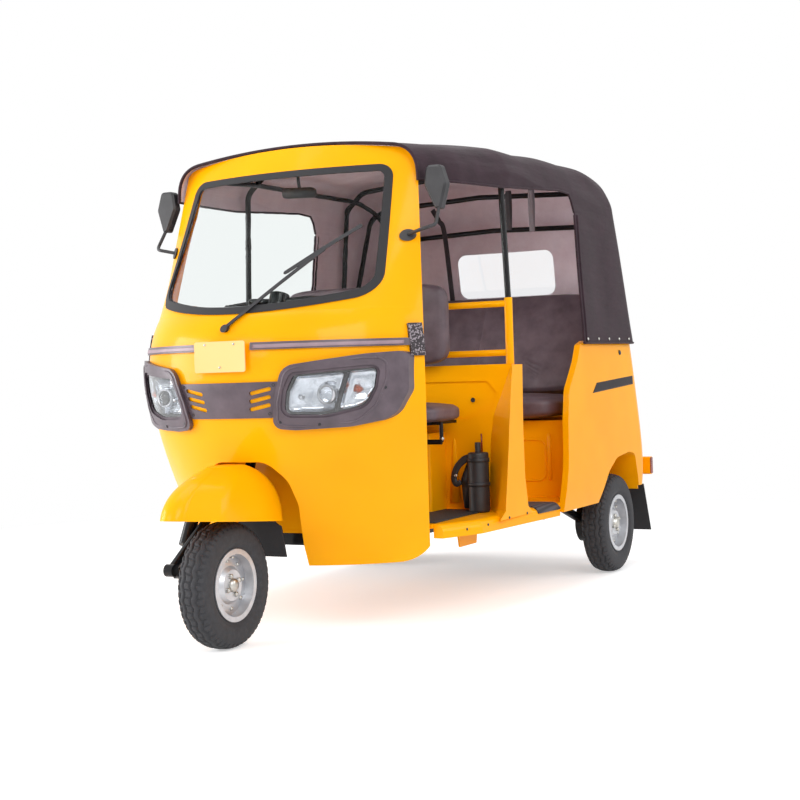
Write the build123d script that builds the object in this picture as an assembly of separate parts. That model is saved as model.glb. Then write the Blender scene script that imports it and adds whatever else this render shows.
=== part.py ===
from build123d import *
import os
from functools import lru_cache
from math import radians, tan

# Three-wheeled passenger auto rickshaw with a canvas hood and open sides.
# +X is the vehicle's left, +Y its rear, +Z up. A "station" is a distance behind the
# front axle; export() moves the model so that its origin is on the ground under the
# middle of the overall length.

os.makedirs("parts", exist_ok=True)

# ---------------------------------------------------------------- driving dimensions
overall_length = 2700.0
front_overhang = 297.0
wheelbase = 1990.0
rear_track = 1150.0

tyre_radius = 205.0
tyre_width = 106.0
rim_radius = 117.0
rim_width = 92.0
axle_radius = 12.0
axle_clearance = 0.3

steering_rake = 21.0
axle_ahead_of_axis = 30.0
column_radius = 17.0
column_top = 1105.0
yoke_height = 456.0

skin = 12.0
cowl_wall = 16.0
seam = 0.5

floor_top = 350.0
floor_thickness = 14.0
rail_depth = 50.0
sill_inner = 480.0
sill_bottom = 302.0
partition_station = 1045.0
partition_thickness = 28.0
partition_top = 885.0
post_x = 565.0
post_radius = 15.0
seat_box_front = 1560.0
seat_box_top = 655.0
seat_box_half_width = 508.0
canopy_thickness = 9.0

# ---------------------------------------------------------------- worked out from them
rear_axle = wheelbase
wheel_x = rear_track / 2
hub_height = tyre_radius
rear_face = overall_length - front_overhang
middle_station = rear_face - overall_length / 2
floor_bottom = floor_top - floor_thickness
lean = tan(radians(steering_rake))


# ---------------------------------------------------------------- small helpers
def export(name, shape):
    """Write one named piece, moved from the station frame to the part's own frame."""
    export_step(Pos(0, -middle_station, 0) * shape, "parts/" + name + ".step")


def block(x, y, z):
    """Box between two corners given as (low, high) pairs."""
    size = [high - low for low, high in (x, y, z)]
    centre = [(high + low) / 2 for low, high in (x, y, z)]
    return Pos(*centre) * Box(*size)


def side_prism(outline, x_low, x_high):
    """Extrude a side-view face, drawn as (station, height), from x_low to x_high."""
    return Pos(x_low, 0, 0) * extrude(Plane.YZ * outline, x_high - x_low)


def front_prism(outline, y_low, y_high):
    """Extrude a front-view face, drawn as (x, height), from y_low to y_high."""
    return Pos(0, y_high, 0) * extrude(Plane.XZ * outline, y_high - y_low)


def polygon(points, radius=0.0):
    """Closed polygon face, with all its corners rounded when a radius is given."""
    face = make_face(Polyline(*points, close=True))
    if radius:
        face = fillet(face.vertices(), radius)
    return face


def rounded(corners):
    """Closed face of corners given as (across, up, radius), each with its own radius."""
    face = make_face(Polyline(*[corner[:2] for corner in corners], close=True))
    for across, up, radius in corners:
        if radius:
            nearest = min(face.vertices(), key=lambda v: (v.X - across) ** 2 + (v.Y - up) ** 2)
            face = fillet([nearest], radius)
    return face


def rod(start, end, radius):
    """Round bar between two points."""
    axis = Vector(*end) - Vector(*start)
    return Plane(origin=start, z_dir=axis) * extrude(Circle(radius), axis.length)


def bent_tube(points, radius, bend):
    """Round bar along straight runs joined by tangent arcs of one radius."""
    path = FilletPolyline(*points, radius=bend)
    profile = Plane(origin=path @ 0, z_dir=path % 0) * Circle(radius)
    return sweep(profile, path=path)


def mirrored(shape):
    """The same piece on the vehicle's right side."""
    return mirror(shape, Plane.YZ)


def both_sides(shape):
    """The piece and its mirror image, as one shape."""
    return shape + mirrored(shape)


def axis_point(height, ahead=0.0):
    """Point of the steering axis at a height, or ahead of it."""
    return (0, axle_ahead_of_axis + (height - hub_height) * lean - ahead, height)


# ---------------------------------------------------------------- front cowl surface
# height, half width at the door edge, station of the door edge, station of the nose
cowl_rows = [
    (232.0, 470.0, 545.0, 280.0),
    (450.0, 498.0, 488.0, 165.0),
    (640.0, 530.0, 428.0, 90.0),
    (800.0, 545.0, 400.0, 48.0),
    (940.0, 545.0, 400.0, 36.0),
    (1080.0, 530.0, 428.0, 100.0),
]
roof_row = (1700.0, 460.0, 562.0, 518.0)
roof_crown = 1660.0
roof_corner = 1620.0
roof_half_width = 472.0
roof_corner_radius = 60.0


def cowl_section(row, inset, run_out):
    """Plan face of one row: an arc through the nose, closed behind the door edge."""
    height, half_width, door, nose = row
    half = half_width - inset
    arc = ThreePointArc((-half, door), (0, nose + inset), (half, door))
    back = [(half, door), (half, door + run_out), (-half, door + run_out), (-half, door)]
    rest = Polyline(*back) if run_out else Line(back[0], back[-1])
    return Pos(0, 0, height) * make_face(arc + rest)


def roof_outline(inset):
    """Front-view face below the arched roof edge of the cowl."""
    edge = roof_half_width - inset
    corner = roof_corner - inset
    top = ThreePointArc((-edge, corner), (0, roof_crown - inset), (edge, corner))
    sides = Polyline((edge, corner), (600, 1100), (600, 0), (-600, 0), (-600, 1100), (-edge, corner))
    face = make_face(top + sides)
    return fillet(face.vertices().sort_by(Axis.Y)[-2:], roof_corner_radius)


@lru_cache(maxsize=None)
def cowl_solid(inset, run_out=0.0):
    """Solid filling the cowl, its surface moved inwards by inset and its open back
    carried on by run_out."""
    belly = loft([cowl_section(row, inset, run_out) for row in cowl_rows])
    screen_rows = (cowl_rows[-1], roof_row)
    screen = loft([cowl_section(row, inset, run_out) for row in screen_rows], ruled=True)
    return (belly + screen) & front_prism(roof_outline(inset), -100, 900)


def cowl_layer(outer, inner):
    """Layer over the cowl between two insets, the outer one first."""
    return cowl_solid(outer) - cowl_solid(inner, 200.0)


# windscreen: half width and height of the seal's outer corners
screen_top = (401.0, 1573.0)
screen_low = (440.0, 1130.0)
screen_dip = 1077.0
screen_top_radius = 52.0
screen_low_radius = 80.0
seal_width = 24.0
seal_groove = 9.0
seal_proud = 5.0
glass_recess = 5.0
glass_thickness = 6.0


def screen_outline(inset):
    """Front-view face of the windscreen, inset from the seal's outer edge."""
    top_x, top_z = screen_top[0] - inset, screen_top[1] - inset
    low_x, low_z = screen_low[0] - inset, screen_low[1] + inset
    base = ThreePointArc((-low_x, low_z), (0, screen_dip + inset), (low_x, low_z))
    rest = Polyline((low_x, low_z), (top_x, top_z), (-top_x, top_z), (-low_x, low_z))
    face = make_face(base + rest)
    face = fillet(face.vertices().sort_by(Axis.Y)[-2:], screen_top_radius - inset)
    low_corners = [v for v in face.vertices() if abs(v.Y - low_z) < 1]
    return fillet(low_corners, screen_low_radius - inset)


# front wheel opening: half width and height of its corners, from the bottom edge up
arch_corners = [(132, 150), (142, 300), (170, 446), (158, 530), (100, 592)]
arch_radius = 72.0
cowl_hem_radius = 105.0
door_foot_station = 546.0

arch_points = arch_corners + [(-x, z) for x, z in reversed(arch_corners)]
arch_face = fillet(polygon(arch_points).vertices().sort_by(Axis.Y)[2:], arch_radius)
hem_outline = rounded([
    (-200, 232, 0), (door_foot_station, 232, cowl_hem_radius), (700, 1800, 0), (-200, 1800, 0),
])

# headlamp: corners of the bezel and of the lens as (across, up, radius)
bezel_outline = rounded([
    (160, 702, 26), (174, 790, 60), (212, 902, 55), (440, 934, 300), (529, 940, 22), (526, 812, 70), (488, 724, 70),
    (380, 701, 90), (230, 695, 90),
])
lens_outline = rounded([(198, 746, 22), (214, 822, 60), (240, 872, 18), (461, 890, 14), (451, 826, 60), (424, 768, 50), (322, 742, 120)])
bezel_proud, bezel_step, lip_width = 20.0, 12.5, 9.0
lens_proud = 10.0
housing_proud, housing_depth, housing_wall = 5.0, 52.0, 4.0
lamp_depth_station = 396.0
lamp_holes = both_sides(front_prism(lens_outline, -100, lamp_depth_station))

pillar_depth = 38.0
cabin_side = cowl_solid(cowl_wall) & (Pos(0, -cowl_wall, 0) * cowl_solid(-60))
front_cowl = cowl_solid(0) - cabin_side - cowl_solid(cowl_wall + pillar_depth, 200.0)
front_cowl -= front_prism(screen_outline(seal_groove), -100, 700)
front_cowl -= front_prism(arch_face, -100, 430)
front_cowl -= lamp_holes
front_cowl &= side_prism(hem_outline, -700, 700)
export("front_cowl", front_cowl)

glass_face = screen_outline(seal_width + seam)
export("windscreen_glass", cowl_layer(glass_recess, glass_recess + glass_thickness) & front_prism(glass_face, -100, 700))

seal_bore = front_prism(screen_outline(seal_width), -100, 700)
seal_lip = cowl_layer(-seal_proud, -seam) & front_prism(screen_outline(0), -100, 700)
seal_body = cowl_layer(-seam, cowl_wall) & front_prism(screen_outline(seal_groove + seam), -100, 700)
export("windscreen_seal", seal_lip + seal_body - seal_bore)

# ---------------------------------------------------------------- cowl trim
belt_low, belt_high = 957.0, 981.0
belt_proud = 9.0
plate_half_width = 102.0
belt = cowl_layer(-belt_proud, -seam) & block((-700, 700), (-100, 388), (belt_low, belt_high))
belt -= block((-plate_half_width, plate_half_width), (-100, 300), (belt_low - 1, belt_high + 1))
export("belt_moulding", belt)

bezel = cowl_layer(-bezel_proud, -seam) & front_prism(bezel_outline, -100, lamp_depth_station)
bezel -= front_prism(lens_outline, -100, lamp_depth_station)
bezel -= cowl_layer(-bezel_proud - 2, -bezel_step) & front_prism(offset(lens_outline, lip_width), -100, lamp_depth_station)
lens = cowl_layer(-lens_proud, -housing_proud - seam) & front_prism(offset(lens_outline, -seam), -100, lamp_depth_station)
bucket = cowl_layer(-housing_proud, housing_depth) & front_prism(offset(lens_outline, -seam), -100, lamp_depth_station)
bucket -= cowl_layer(-housing_proud - 2, housing_depth - housing_wall) & front_prism(
    offset(lens_outline, -seam - housing_wall), -100, lamp_depth_station
)
for side, place in (("left", lambda s: s), ("right", mirrored)):
    export("headlamp_bezel_" + side, place(bezel))
    export("headlamp_" + side, place(lens))
    export("headlamp_housing_" + side, place(bucket))

# grille panel with three slanting slots on each side of its bare middle
grille_outline = polygon([(-206, 853), (-158, 737), (158, 737), (206, 853)], 8)
grille = cowl_layer(-7.0, -seam) & front_prism(grille_outline, -100, 300)
grille -= both_sides(front_prism(offset(bezel_outline, seam), -100, lamp_depth_station))
slot_length, slot_height, slot_pitch = 76.0, 13.0, 26.0
for row in range(3):
    slot = Pos(128 - 4 * row, 824 - slot_pitch * row) * Rot(0, 0, 12) * SlotOverall(slot_length, slot_height)
    grille -= both_sides(front_prism(slot, -100, 300))
export("grille_panel", grille)

# wiper: pivot below the glass, an arm and a blade that lies along the glass
wiper_pivot = (0.0, 1030.0)
wiper_joint = (250.0, 1279.0)
blade_ends = ((150.0, 1208.0), (342.0, 1357.0))


def strip(start, end, width):
    """Front-view face of a straight strip with round ends."""
    start, end = Vector(*start), Vector(*end)
    along = end - start
    middle = (start + end) / 2
    return Pos(middle.X, middle.Y) * Rot(0, 0, along.get_signed_angle(Vector(1, 0, 0), Vector(0, 0, -1))) * SlotOverall(
        along.length + width, width
    )


wiper = cowl_layer(-13.0, -7.5) & front_prism(strip(wiper_pivot, wiper_joint, 12), -100, 700)
wiper += cowl_layer(-10.0, -7.5) & front_prism(strip(*blade_ends, 13), -100, 700)
wiper += cowl_layer(-7.5, glass_recess - 0.2) & front_prism(strip(*blade_ends, 5), -100, 700)
wiper += cowl_layer(-16.0, -seam) & front_prism(Pos(*wiper_pivot) * Circle(13), -100, 300)
export("wiper", wiper)

# mirrors: a tapered head on a bent stalk from the windscreen pillar
mirror_station, mirror_depth = 519.0, 34.0
head_outline = rounded([(519, 1555, 16), (572, 1555, 16), (592, 1490, 24), (569, 1408, 10), (549, 1408, 10), (509, 1490, 24)])
head = front_prism(head_outline, mirror_station - mirror_depth / 2, mirror_station + mirror_depth / 2)
head = chamfer(head.faces().sort_by(Axis.Y)[0].edges(), 7)
stalk = bent_tube([(466, 450, 1322), (535, 430, 1338), (566, 470, 1352), (559, mirror_station, 1425)], 6, 22)
stalk -= cowl_solid(-seam, 200.0)
stalk += cowl_layer(-8.0, -seam) & front_prism(Pos(474, 1323) * Circle(20), -100, 700)
mirror_piece = head + stalk
export("mirror_left", mirror_piece)
export("mirror_right", mirrored(mirror_piece))

# ---------------------------------------------------------------- rear tub surface
# height, half width, station of the rear face at its corners, rearward crown of that face
tub_rows = [
    (300.0, 642.0, 2322.0, 14.0),
    (450.0, 650.0, 2338.0, 16.0),
    (600.0, 650.0, 2308.0, 36.0),
    (800.0, 642.0, 2268.0, 58.0),
    (990.0, 622.0, 2254.0, 78.0),
]
tub_corner_radius = 130.0
tub_front = 1280.0
tub_bottom, tub_top = 345.0, 985.0


def crowned_plan(height, half, front, back, crown, radius):
    """Plan face with straight sides, a crowned rear face and rounded rear corners."""
    sides = Polyline((half, back), (half, front), (-half, front), (-half, back))
    rear = ThreePointArc((-half, back), (0, back + crown), (half, back))
    face = make_face(sides + rear)
    corners = [v for v in face.vertices() if abs(v.Y - back) < 1]
    return Pos(0, 0, height) * fillet(corners, radius)


@lru_cache(maxsize=None)
def tub_solid(inset):
    """Solid filling the rear tub, with its surface moved inwards by inset."""
    return loft([
        crowned_plan(height, half - inset, tub_front, rear - inset, crown, tub_corner_radius - inset)
        for height, half, rear, crown in tub_rows
    ])


# side view of the quarter panel as (station, height, radius), from the sill round its top
quarter_corners = [
    (1328, 316, 0), (1372, 473, 120), (1388, 663, 90), (1420, 777, 70), (1535, 884, 45), (1590, 950, 24),
    (1650, 966, 40), (2420, 990, 0), (2420, 345, 0), (2080, 345, 0), (2080, 316, 0),
]
# side view of the wheel arch in it, from the sill over the wheel to the tail
arch_edge = [
    (1660, 280, 0), (1700, 316, 30), (1755, 366, 60), (1822, 436, 70), (1915, 484, 90), (2060, 498, 90),
    (2132, 486, 34), (2178, 372, 40), (2204, 280, 0),
]
tail_half_width = 490.0
rim_depth = 24.0
liner_thickness = 6.0
liner_inner = seat_box_half_width + seam
arch_hole = rounded(arch_edge)
quarter_face = rounded(quarter_corners) - arch_hole

quarter = (tub_solid(0.0) - tub_solid(rim_depth)) & side_prism(quarter_face, tail_half_width + seam, 700)
quarter -= (tub_solid(skin) - tub_solid(rim_depth + 1)) & side_prism(
    offset(quarter_face, -skin), tail_half_width + seam + skin, 700
)
liner = side_prism(offset(arch_hole, liner_thickness) - arch_hole, liner_inner, 700) & tub_solid(skin / 2)
quarter += liner & block((0, 700), (1690, 2250), (floor_top - 20, 600))
underside = block((liner_inner, 640), (2196, 2400), (tub_bottom, tub_bottom + 8)) & tub_solid(skin / 2)
quarter += underside
export("quarter_panel_left", quarter)
export("quarter_panel_right", mirrored(quarter))

tail_shell = tub_solid(0.0) - tub_solid(skin)
hatch_half_width = 330.0
hatch_low, hatch_high = 470.0, 800.0
hatch_gap = 6.0
tail = tail_shell & block((-tail_half_width, tail_half_width), (2100, 2500), (tub_bottom, tub_top))
inner_half = hatch_half_width - hatch_gap
hatch = tail & block((-inner_half, inner_half), (2100, 2500), (hatch_low + hatch_gap, hatch_high - hatch_gap))
tail -= block((-hatch_half_width, hatch_half_width), (2100, 2500), (hatch_low, hatch_high))

# hinge pins on the tail, with the hatch's knuckles turning on them
hinge_axis = (2338.0, 792.0)
pin_radius, knuckle_radius, knuckle_clearance = 4.0, 8.0, 0.3
knuckle_half_length = 22.0
for centre in (-210.0, 210.0):
    pin = rod((centre - 40, *hinge_axis), (centre + 40, *hinge_axis), pin_radius)
    for end in (-36.0, 36.0):
        ear = side_prism(polygon([(2300, 804), (2300, 830), (2326, 830), (2346, 800), (2346, 786), (2330, 786), (2330, 804)]), centre + end - 4, centre + end + 4)
        pin += ear - tub_solid(skin / 2)
    tail += pin
    socket = Circle(knuckle_radius) - Circle(pin_radius + knuckle_clearance)
    knuckle = side_prism(Pos(*hinge_axis) * socket, centre - knuckle_half_length, centre + knuckle_half_length)
    tab = block((centre - knuckle_half_length, centre + knuckle_half_length), (2300, 2334), (774, 786))
    hatch += knuckle + (tab - tub_solid(0.0) - rod((centre - 40, *hinge_axis), (centre + 40, *hinge_axis), pin_radius + 1))
export("tail_panel", tail)
export("engine_hatch", hatch)

lamp_x, lamp_low, lamp_high = (378.0, 470.0), 590.0, 760.0
tail_lamp = (tub_solid(-16.0) - tub_solid(-seam)) & block(lamp_x, (2200, 2500), (lamp_low, lamp_high))
export("tail_lamps", both_sides(tail_lamp))

# ---------------------------------------------------------------- floor, sills, pillars
floor = block((-500, 500), (330, 560), (floor_bottom, floor_top)) & cowl_solid(cowl_wall + pillar_depth + seam, 200.0)
floor += block((-sill_inner + seam, sill_inner - seam), (540, 1330), (floor_bottom, floor_top))
floor += block((-700, 700), (1328, seat_box_front), (floor_bottom, floor_top)) & tub_solid(rim_depth + seam)
bracket_face = polygon([(800, floor_bottom + 1), (984, floor_bottom + 1), (962, 238), (824, 238)], 4)
floor += both_sides(side_prism(bracket_face, 440, 446))
export("floor_pan", floor)

sill_plan = [(sill_inner, 552), (516, 552), (584, 720), (606, 1045), (628, 1327), (sill_inner, 1327)]


def sill_solid(growth):
    """One door sill, with its surface moved outwards by growth."""
    sill = Pos(0, 0, sill_bottom) * extrude(offset(polygon(sill_plan), growth, kind=Kind.INTERSECTION), floor_top + growth - sill_bottom)
    edges = [e for e in sill.edges() if e.center().Z > floor_top - 1 and e.center().X > 530 and e.center().Y < 1320]
    return fillet(edges, 30 + growth)


sill = sill_solid(0.0)
# door pillar sections: height, x where it meets the partition, front and rear stations
# of its outer face, x of its outer face
pillar_rows = [
    (335, 470, 820, 1118, 607),
    (364, 471, 872, 1076, 606),
    (470, 476, 901, 1062, 603),
    (615, 486, 938, 1070, 598),
    (694, 498, 958, 1078, 595),
    (882, 576, 1006, 1098, 590),
]
half_thick = partition_thickness / 2
partition_front = partition_station - half_thick


def pillar_section(row):
    """Plan face of one row of the pillar, slanting back from its outer front edge."""
    height, inner, front, rear, outer = row
    corners = [(inner, partition_front), (outer, front), (outer, rear), (inner, partition_front + partition_thickness)]
    return Pos(0, 0, height) * polygon(corners)


pillar = loft([pillar_section(row) for row in pillar_rows], ruled=True)
pillar -= block((400, sill_inner), (500, 1300), (300, floor_top + 0.2))
side_frame = sill + pillar
export("side_frame_left", side_frame)
export("side_frame_right", mirrored(side_frame))

partition_edge = [(pillar_rows[0][1] - seam, floor_top + 0.2)] + [(row[1] - seam, row[0]) for row in pillar_rows[1:]]
partition_edge += [(pillar_rows[-1][1] - seam, partition_top)]
partition_outline = polygon(partition_edge + [(-x, z) for x, z in reversed(partition_edge)])
partition = front_prism(partition_outline, partition_front, partition_front + partition_thickness)
emboss = polygon([
    (-396, 686), (396, 686), (495, 728), (513, 783), (478, 825), (-478, 825), (-513, 783), (-495, 728),
], 20)
partition -= front_prism(emboss, partition_front - 1, partition_front + 8)
export("partition_panel", partition)

rails = Part()
for height in (926.0, 1105.0):
    rails += rod((-post_x, partition_station, height), (post_x, partition_station, height), 12)
for side in (-1, 1):
    rails += rod((side * post_x, partition_station, partition_top), (side * post_x, partition_station, 1126), post_radius)
export("partition_rails", rails)

step = (sill_solid(5.0) - sill_solid(0.2)) & block((495, 700), (1146, 1322), (328, 400))
export("step_plates", both_sides(step))

column_hole = rod(axis_point(600), axis_point(1080), column_radius + 7)
toe_board = side_prism(polygon([(330, floor_top), (342, floor_top), (228, 880), (216, 880)]), -520, 520)
toe_board &= cowl_solid(cowl_wall + seam, 200.0)
toe_board -= column_hole
toe_board -= both_sides(cowl_layer(0.0, housing_depth + 3) & front_prism(offset(lens_outline, 2), -100, lamp_depth_station))
export("toe_board", toe_board)

dash_face, dash_low, dash_high = 372.0, 896.0, 1012.0
dash = cowl_solid(cowl_wall + seam) & block((-600, 600), (0, dash_face), (dash_low, dash_high))
dash -= cowl_solid(cowl_wall + 60) & block((-600, 600), (0, dash_face - skin), (dash_low - 4, dash_high - skin))
dash += fillet(block((-120, 120), (190, 290), (dash_high - 4, 1062)).edges().group_by(Axis.Z)[-1], 12)
dash -= column_hole
export("dash_panel", dash)

# ---------------------------------------------------------------- seat box and bench
seat_box = block((-700, 700), (seat_box_front, seat_box_front + skin), (floor_bottom, seat_box_top))
seat_box += block((-700, 700), (seat_box_front, 2150), (seat_box_top - skin, seat_box_top))
seat_box &= tub_solid(skin + seam)
for side in (-1, 1):
    wall = sorted((side * seat_box_half_width, side * (seat_box_half_width - skin)))
    seat_box += block(wall, (seat_box_front, 2150), (floor_bottom, seat_box_top))
seat_box -= front_prism(Pos(0, 500) * RectangleRounded(760, 210, 30), seat_box_front - 1, seat_box_front + 4)
export("seat_box", seat_box)

cushion_front, cushion_top = 1475.0, 760.0
passenger_seat = block((-545, 545), (cushion_front, 1890), (seat_box_top + seam, cushion_top))
export("passenger_seat", fillet(passenger_seat.edges(), 30))
backrest = side_prism(polygon([(1895, 765), (1985, 720), (2205, 1180), (2120, 1190)], 18), -545, 545)
export("passenger_backrest", backrest)

driver_seat_stations, driver_seat_low, driver_seat_top = (700.0, 990.0), 688.0, 762.0
driver_seat = block((-400, 400), driver_seat_stations, (driver_seat_low, driver_seat_top))
export("driver_seat", fillet(driver_seat.edges(), 26))
driver_back = fillet(block((-385, 385), (945, partition_station - 12.3), (893, 1190)).edges(), 25)
export("driver_backrest", driver_back)

pedestal_half_width, pedestal_front, pedestal_top = 298.0, 900.0, 640.0
pedestal = block((-pedestal_half_width, pedestal_half_width), (pedestal_front, partition_front - seam), (floor_top + 0.2, pedestal_top))
pedestal = fillet(pedestal.edges().filter_by(Axis.Z).sort_by(Axis.Y)[:2], 12)
pedestal -= block((-pedestal_half_width + skin, pedestal_half_width - skin), (pedestal_front + skin, partition_front - skin),
                  (floor_top - 1, pedestal_top - skin))
export("seat_pedestal", pedestal)

# black seat frame: a tray on the pedestal, with a strut hanging at each front corner
strut_x, strut_station, strut_low = 408.0, 780.0, 616.0
tray_low = driver_seat_low - 12.0
stand = block((-372, 372), (716, 980), (tray_low, driver_seat_low - seam))
for side in (-1, 1):
    stand += rod((side * 250, 950, pedestal_top + 0.2), (side * 250, 950, tray_low + 1), 11)
    stand += rod((side * strut_x, strut_station, strut_low), (side * strut_x, strut_station, driver_seat_low - seam), 7)
    stand += rod((side * 240, strut_station, strut_low), (side * 240, pedestal_front - seam, strut_low), 7)
    stand += rod((side * 371, strut_station, tray_low + 5.5), (side * strut_x, strut_station, tray_low + 5.5), 5)
stand += rod((-strut_x, strut_station, strut_low), (strut_x, strut_station, strut_low), 9)
export("seat_stand", stand)

# ---------------------------------------------------------------- chassis and running gear
rail_x, rail_width = 300.0, 50.0
chassis = Part()
for side in (-1, 1):
    chassis += block((side * rail_x - rail_width / 2, side * rail_x + rail_width / 2), (400, 2300), (floor_bottom - rail_depth, floor_bottom))
for station in (425, 1000, 1560, 1880, 2130, 2275):
    chassis += block((-rail_x, rail_x), (station - 25, station + 25), (floor_bottom - rail_depth, floor_bottom))
arm_pivot_station = 1560.0
pivot_height = floor_bottom - rail_depth / 2
chassis += rod((-430, arm_pivot_station, pivot_height), (430, arm_pivot_station, pivot_height), 18)
export("chassis_frame", chassis)

engine = fillet(block((-190, 200), (1840, 2190), (floor_bottom + seam, 560)).edges(), 20)
export("engine_block", engine)

silencer = fillet(rod((-230, 2262, 226), (180, 2262, 226), 46).edges(), 12)
silencer += block((-40, -20), (2250, 2270), (250, floor_bottom - rail_depth - 0.2))
export("silencer", silencer)

bumper_low, bumper_high, bumper_depth = 378.0, 455.0, 34.0
bumper = block((-636, 636), (rear_face - bumper_depth, rear_face), (bumper_low, bumper_high))
bumper = fillet(bumper.edges().filter_by(Axis.X), 8)
for side in (-1, 1):
    bracket = [(2300.5, 290), (2300.5, 332), (rear_face - 24, 332), (rear_face - 20, bumper_low + 4), (rear_face - 8, bumper_low + 4), (rear_face - 8, 320), (rear_face - 20, 290)]
    bumper += side_prism(polygon(bracket), side * rail_x - 20, side * rail_x + 20)
export("rear_bumper", bumper)

flap_top = tub_bottom - 0.2
flap = side_prism(polygon([(2262, flap_top), (2268, flap_top), (2352, 136), (2346, 136)]), 512, 640)
export("rear_mud_flaps", both_sides(flap))

arm = rod((wheel_x - 100, rear_axle, hub_height), (wheel_x + 34, rear_axle, hub_height), axle_radius)
arm += rod((wheel_x - 118, rear_axle, hub_height), (wheel_x - 66, rear_axle, hub_height), 80)
arm += bent_tube([(449, arm_pivot_station, pivot_height), (449, arm_pivot_station + 150, pivot_height), (wheel_x - 105, rear_axle, hub_height)], 18, 60)
arm += rod((430.3, arm_pivot_station, pivot_height), (468, arm_pivot_station, pivot_height), 23)
export("rear_arm_left", arm)
export("rear_arm_right", mirrored(arm))

# ---------------------------------------------------------------- hood
# station, half width at the shoulder, half width at the hem, shoulder height, crown height
hood_rows = [
    (500.0, 486.0, 520.0, 1630.0, 1674.0),
    (720.0, 536.0, 572.0, 1650.0, 1702.0),
    (1045.0, 578.0, 618.0, 1668.0, 1730.0),
    (1640.0, 588.0, 642.0, 1680.0, 1742.0),
    (2480.0, 584.0, 650.0, 1664.0, 1724.0),
]
# height and station of the hood's rear face at its corners
hood_rear_rows = [
    (600.0, 2345.0), (950.0, 2290.0), (1262.0, 2245.0), (1445.0, 2214.0), (1570.0, 2160.0), (1660.0, 2075.0), (1780.0, 1880.0),
]
hood_base = 940.0
hood_shoulder_radius = 88.0
hood_corner_radius = 135.0
hood_crown = 90.0
hood_hem = 957.0


def hood_section(row, inset):
    """Front-view face of the hood at one station."""
    station, top_half, low_half, shoulder, crown = row
    base = hood_base if inset == 0 else 500.0
    spread = (low_half - top_half) * (shoulder - base) / (shoulder - hood_base)
    top_half, low_half = top_half - inset, top_half + spread - inset
    arch = ThreePointArc((-top_half, shoulder - inset), (0, crown - inset), (top_half, shoulder - inset))
    rest = Polyline((top_half, shoulder - inset), (low_half, base), (-low_half, base), (-top_half, shoulder - inset))
    face = make_face(arch + rest)
    face = fillet([v for v in face.vertices() if v.Y > base + 1], hood_shoulder_radius - inset)
    return Pos(0, station, 0) * (Plane.XZ * face)


@lru_cache(maxsize=None)
def hood_solid(inset):
    """Solid filling the hood, with its surface moved inwards by inset."""
    tunnel = loft([hood_section(row, inset) for row in hood_rows])
    back = loft([
        crowned_plan(height, 680 - inset, 300, rear - inset, hood_crown, hood_corner_radius + 40 - inset)
        for height, rear in hood_rear_rows
    ])
    return tunnel & back


side_opening = polygon([
    (300, 500), (300, 1506), (1000, 1522), (1500, 1552), (1610, 1548), (1652, 1460), (1652, 1250), (1612, hood_hem), (1612, 500),
])
window_width, window_height, window_centre = 472.0, 200.0, 1290.0
window_outline = Pos(0, window_centre) * RectangleRounded(window_width, window_height, 42)
hood = hood_solid(0) - hood_solid(canopy_thickness)
hood -= side_prism(side_opening, -900, 900)
hood -= block((-900, 900), (300, 3000), (500, hood_hem))
hood -= block((-900, 900), (300, 510), (500, 2000))
hood -= front_prism(window_outline, 2100, 2600)
export("hood_canopy", hood)
pane = (hood_solid(3.0) - hood_solid(6.0)) & front_prism(offset(window_outline, -seam), 2100, 2600)
export("rear_window", pane)

# hood bows: station and height of the feet, half width there, station of the top, half
# width and height at the shoulder, height of the crown
bow_rows = [
    (partition_station, 1126.5, post_x, partition_station, 548.0, 1588.0, 1700.0),
    (1850.0, 973.5, 608.0, 1850.0, 560.0, 1588.0, 1700.0),
    (1905.0, 978.5, 608.0, 2045.0, 548.0, 1560.0, 1618.0),
    (1950.0, 981.0, 608.0, 2190.0, 545.0, 1440.0, 1482.0),
]
frame_radius = 11.0
bow_shoulder = 84.0
hood_frame = Part()
for foot_station, base, low_half, top_station, top_half, shoulder, crown in bow_rows:
    flat_half = top_half - bow_shoulder
    half_bow = [
        (low_half, foot_station, base), (top_half, top_station, shoulder),
        (flat_half, top_station, crown - 0.35 * (crown - shoulder)), (0, top_station, crown),
    ]
    path = half_bow + [(-x, y, z) for x, y, z in reversed(half_bow[:-1])]
    hood_frame += bent_tube(path, frame_radius, 60)
for side in (-1, 1):
    hood_frame += bent_tube([
        (side * 446, 538, 1590), (side * 505, partition_station, 1624), (side * 518, 1850, 1624),
        (side * 506, 2045, 1579), (side * 500, 2190, 1449),
    ], frame_radius - 1, 350) - cowl_solid(-seam)
export("hood_frame", hood_frame)

# ---------------------------------------------------------------- wheels
bead_radius = rim_radius - 12.0
flange_inner = rim_width / 2 - 4.0


def tyre_solid():
    """Tyre as one turned ring about the X axis, centred on its wheel."""
    half = tyre_width / 2
    # distance across the tyre, radius
    side = [
        (flange_inner - 0.4, bead_radius + 0.3), (flange_inner - 0.4, rim_radius + 3), (half, rim_radius + 38),
        (half - 3, tyre_radius - 26), (half - 20, tyre_radius - 5), (0, tyre_radius),
    ]
    outline = side + [(-x, r) for x, r in reversed(side[:-1])]
    return revolve(Plane.XY * polygon(outline), Axis.X, 360)


def rim_solid():
    """Rim with flanges and a dished centre, turned about the X axis."""
    half = rim_width / 2
    bore = axle_radius + axle_clearance
    outline = [
        (half, rim_radius), (flange_inner, rim_radius), (flange_inner, bead_radius), (-flange_inner, bead_radius),
        (-flange_inner, rim_radius), (-half, rim_radius), (-half, bead_radius - 5), (-2, bead_radius - 5), (2, 64),
        (12, 48), (12, bore), (32, bore), (32, 50), (20, 62), (12, bead_radius - 5), (half, bead_radius - 5),
    ]
    return revolve(Plane.XY * polygon(outline), Axis.X, 360)


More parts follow.
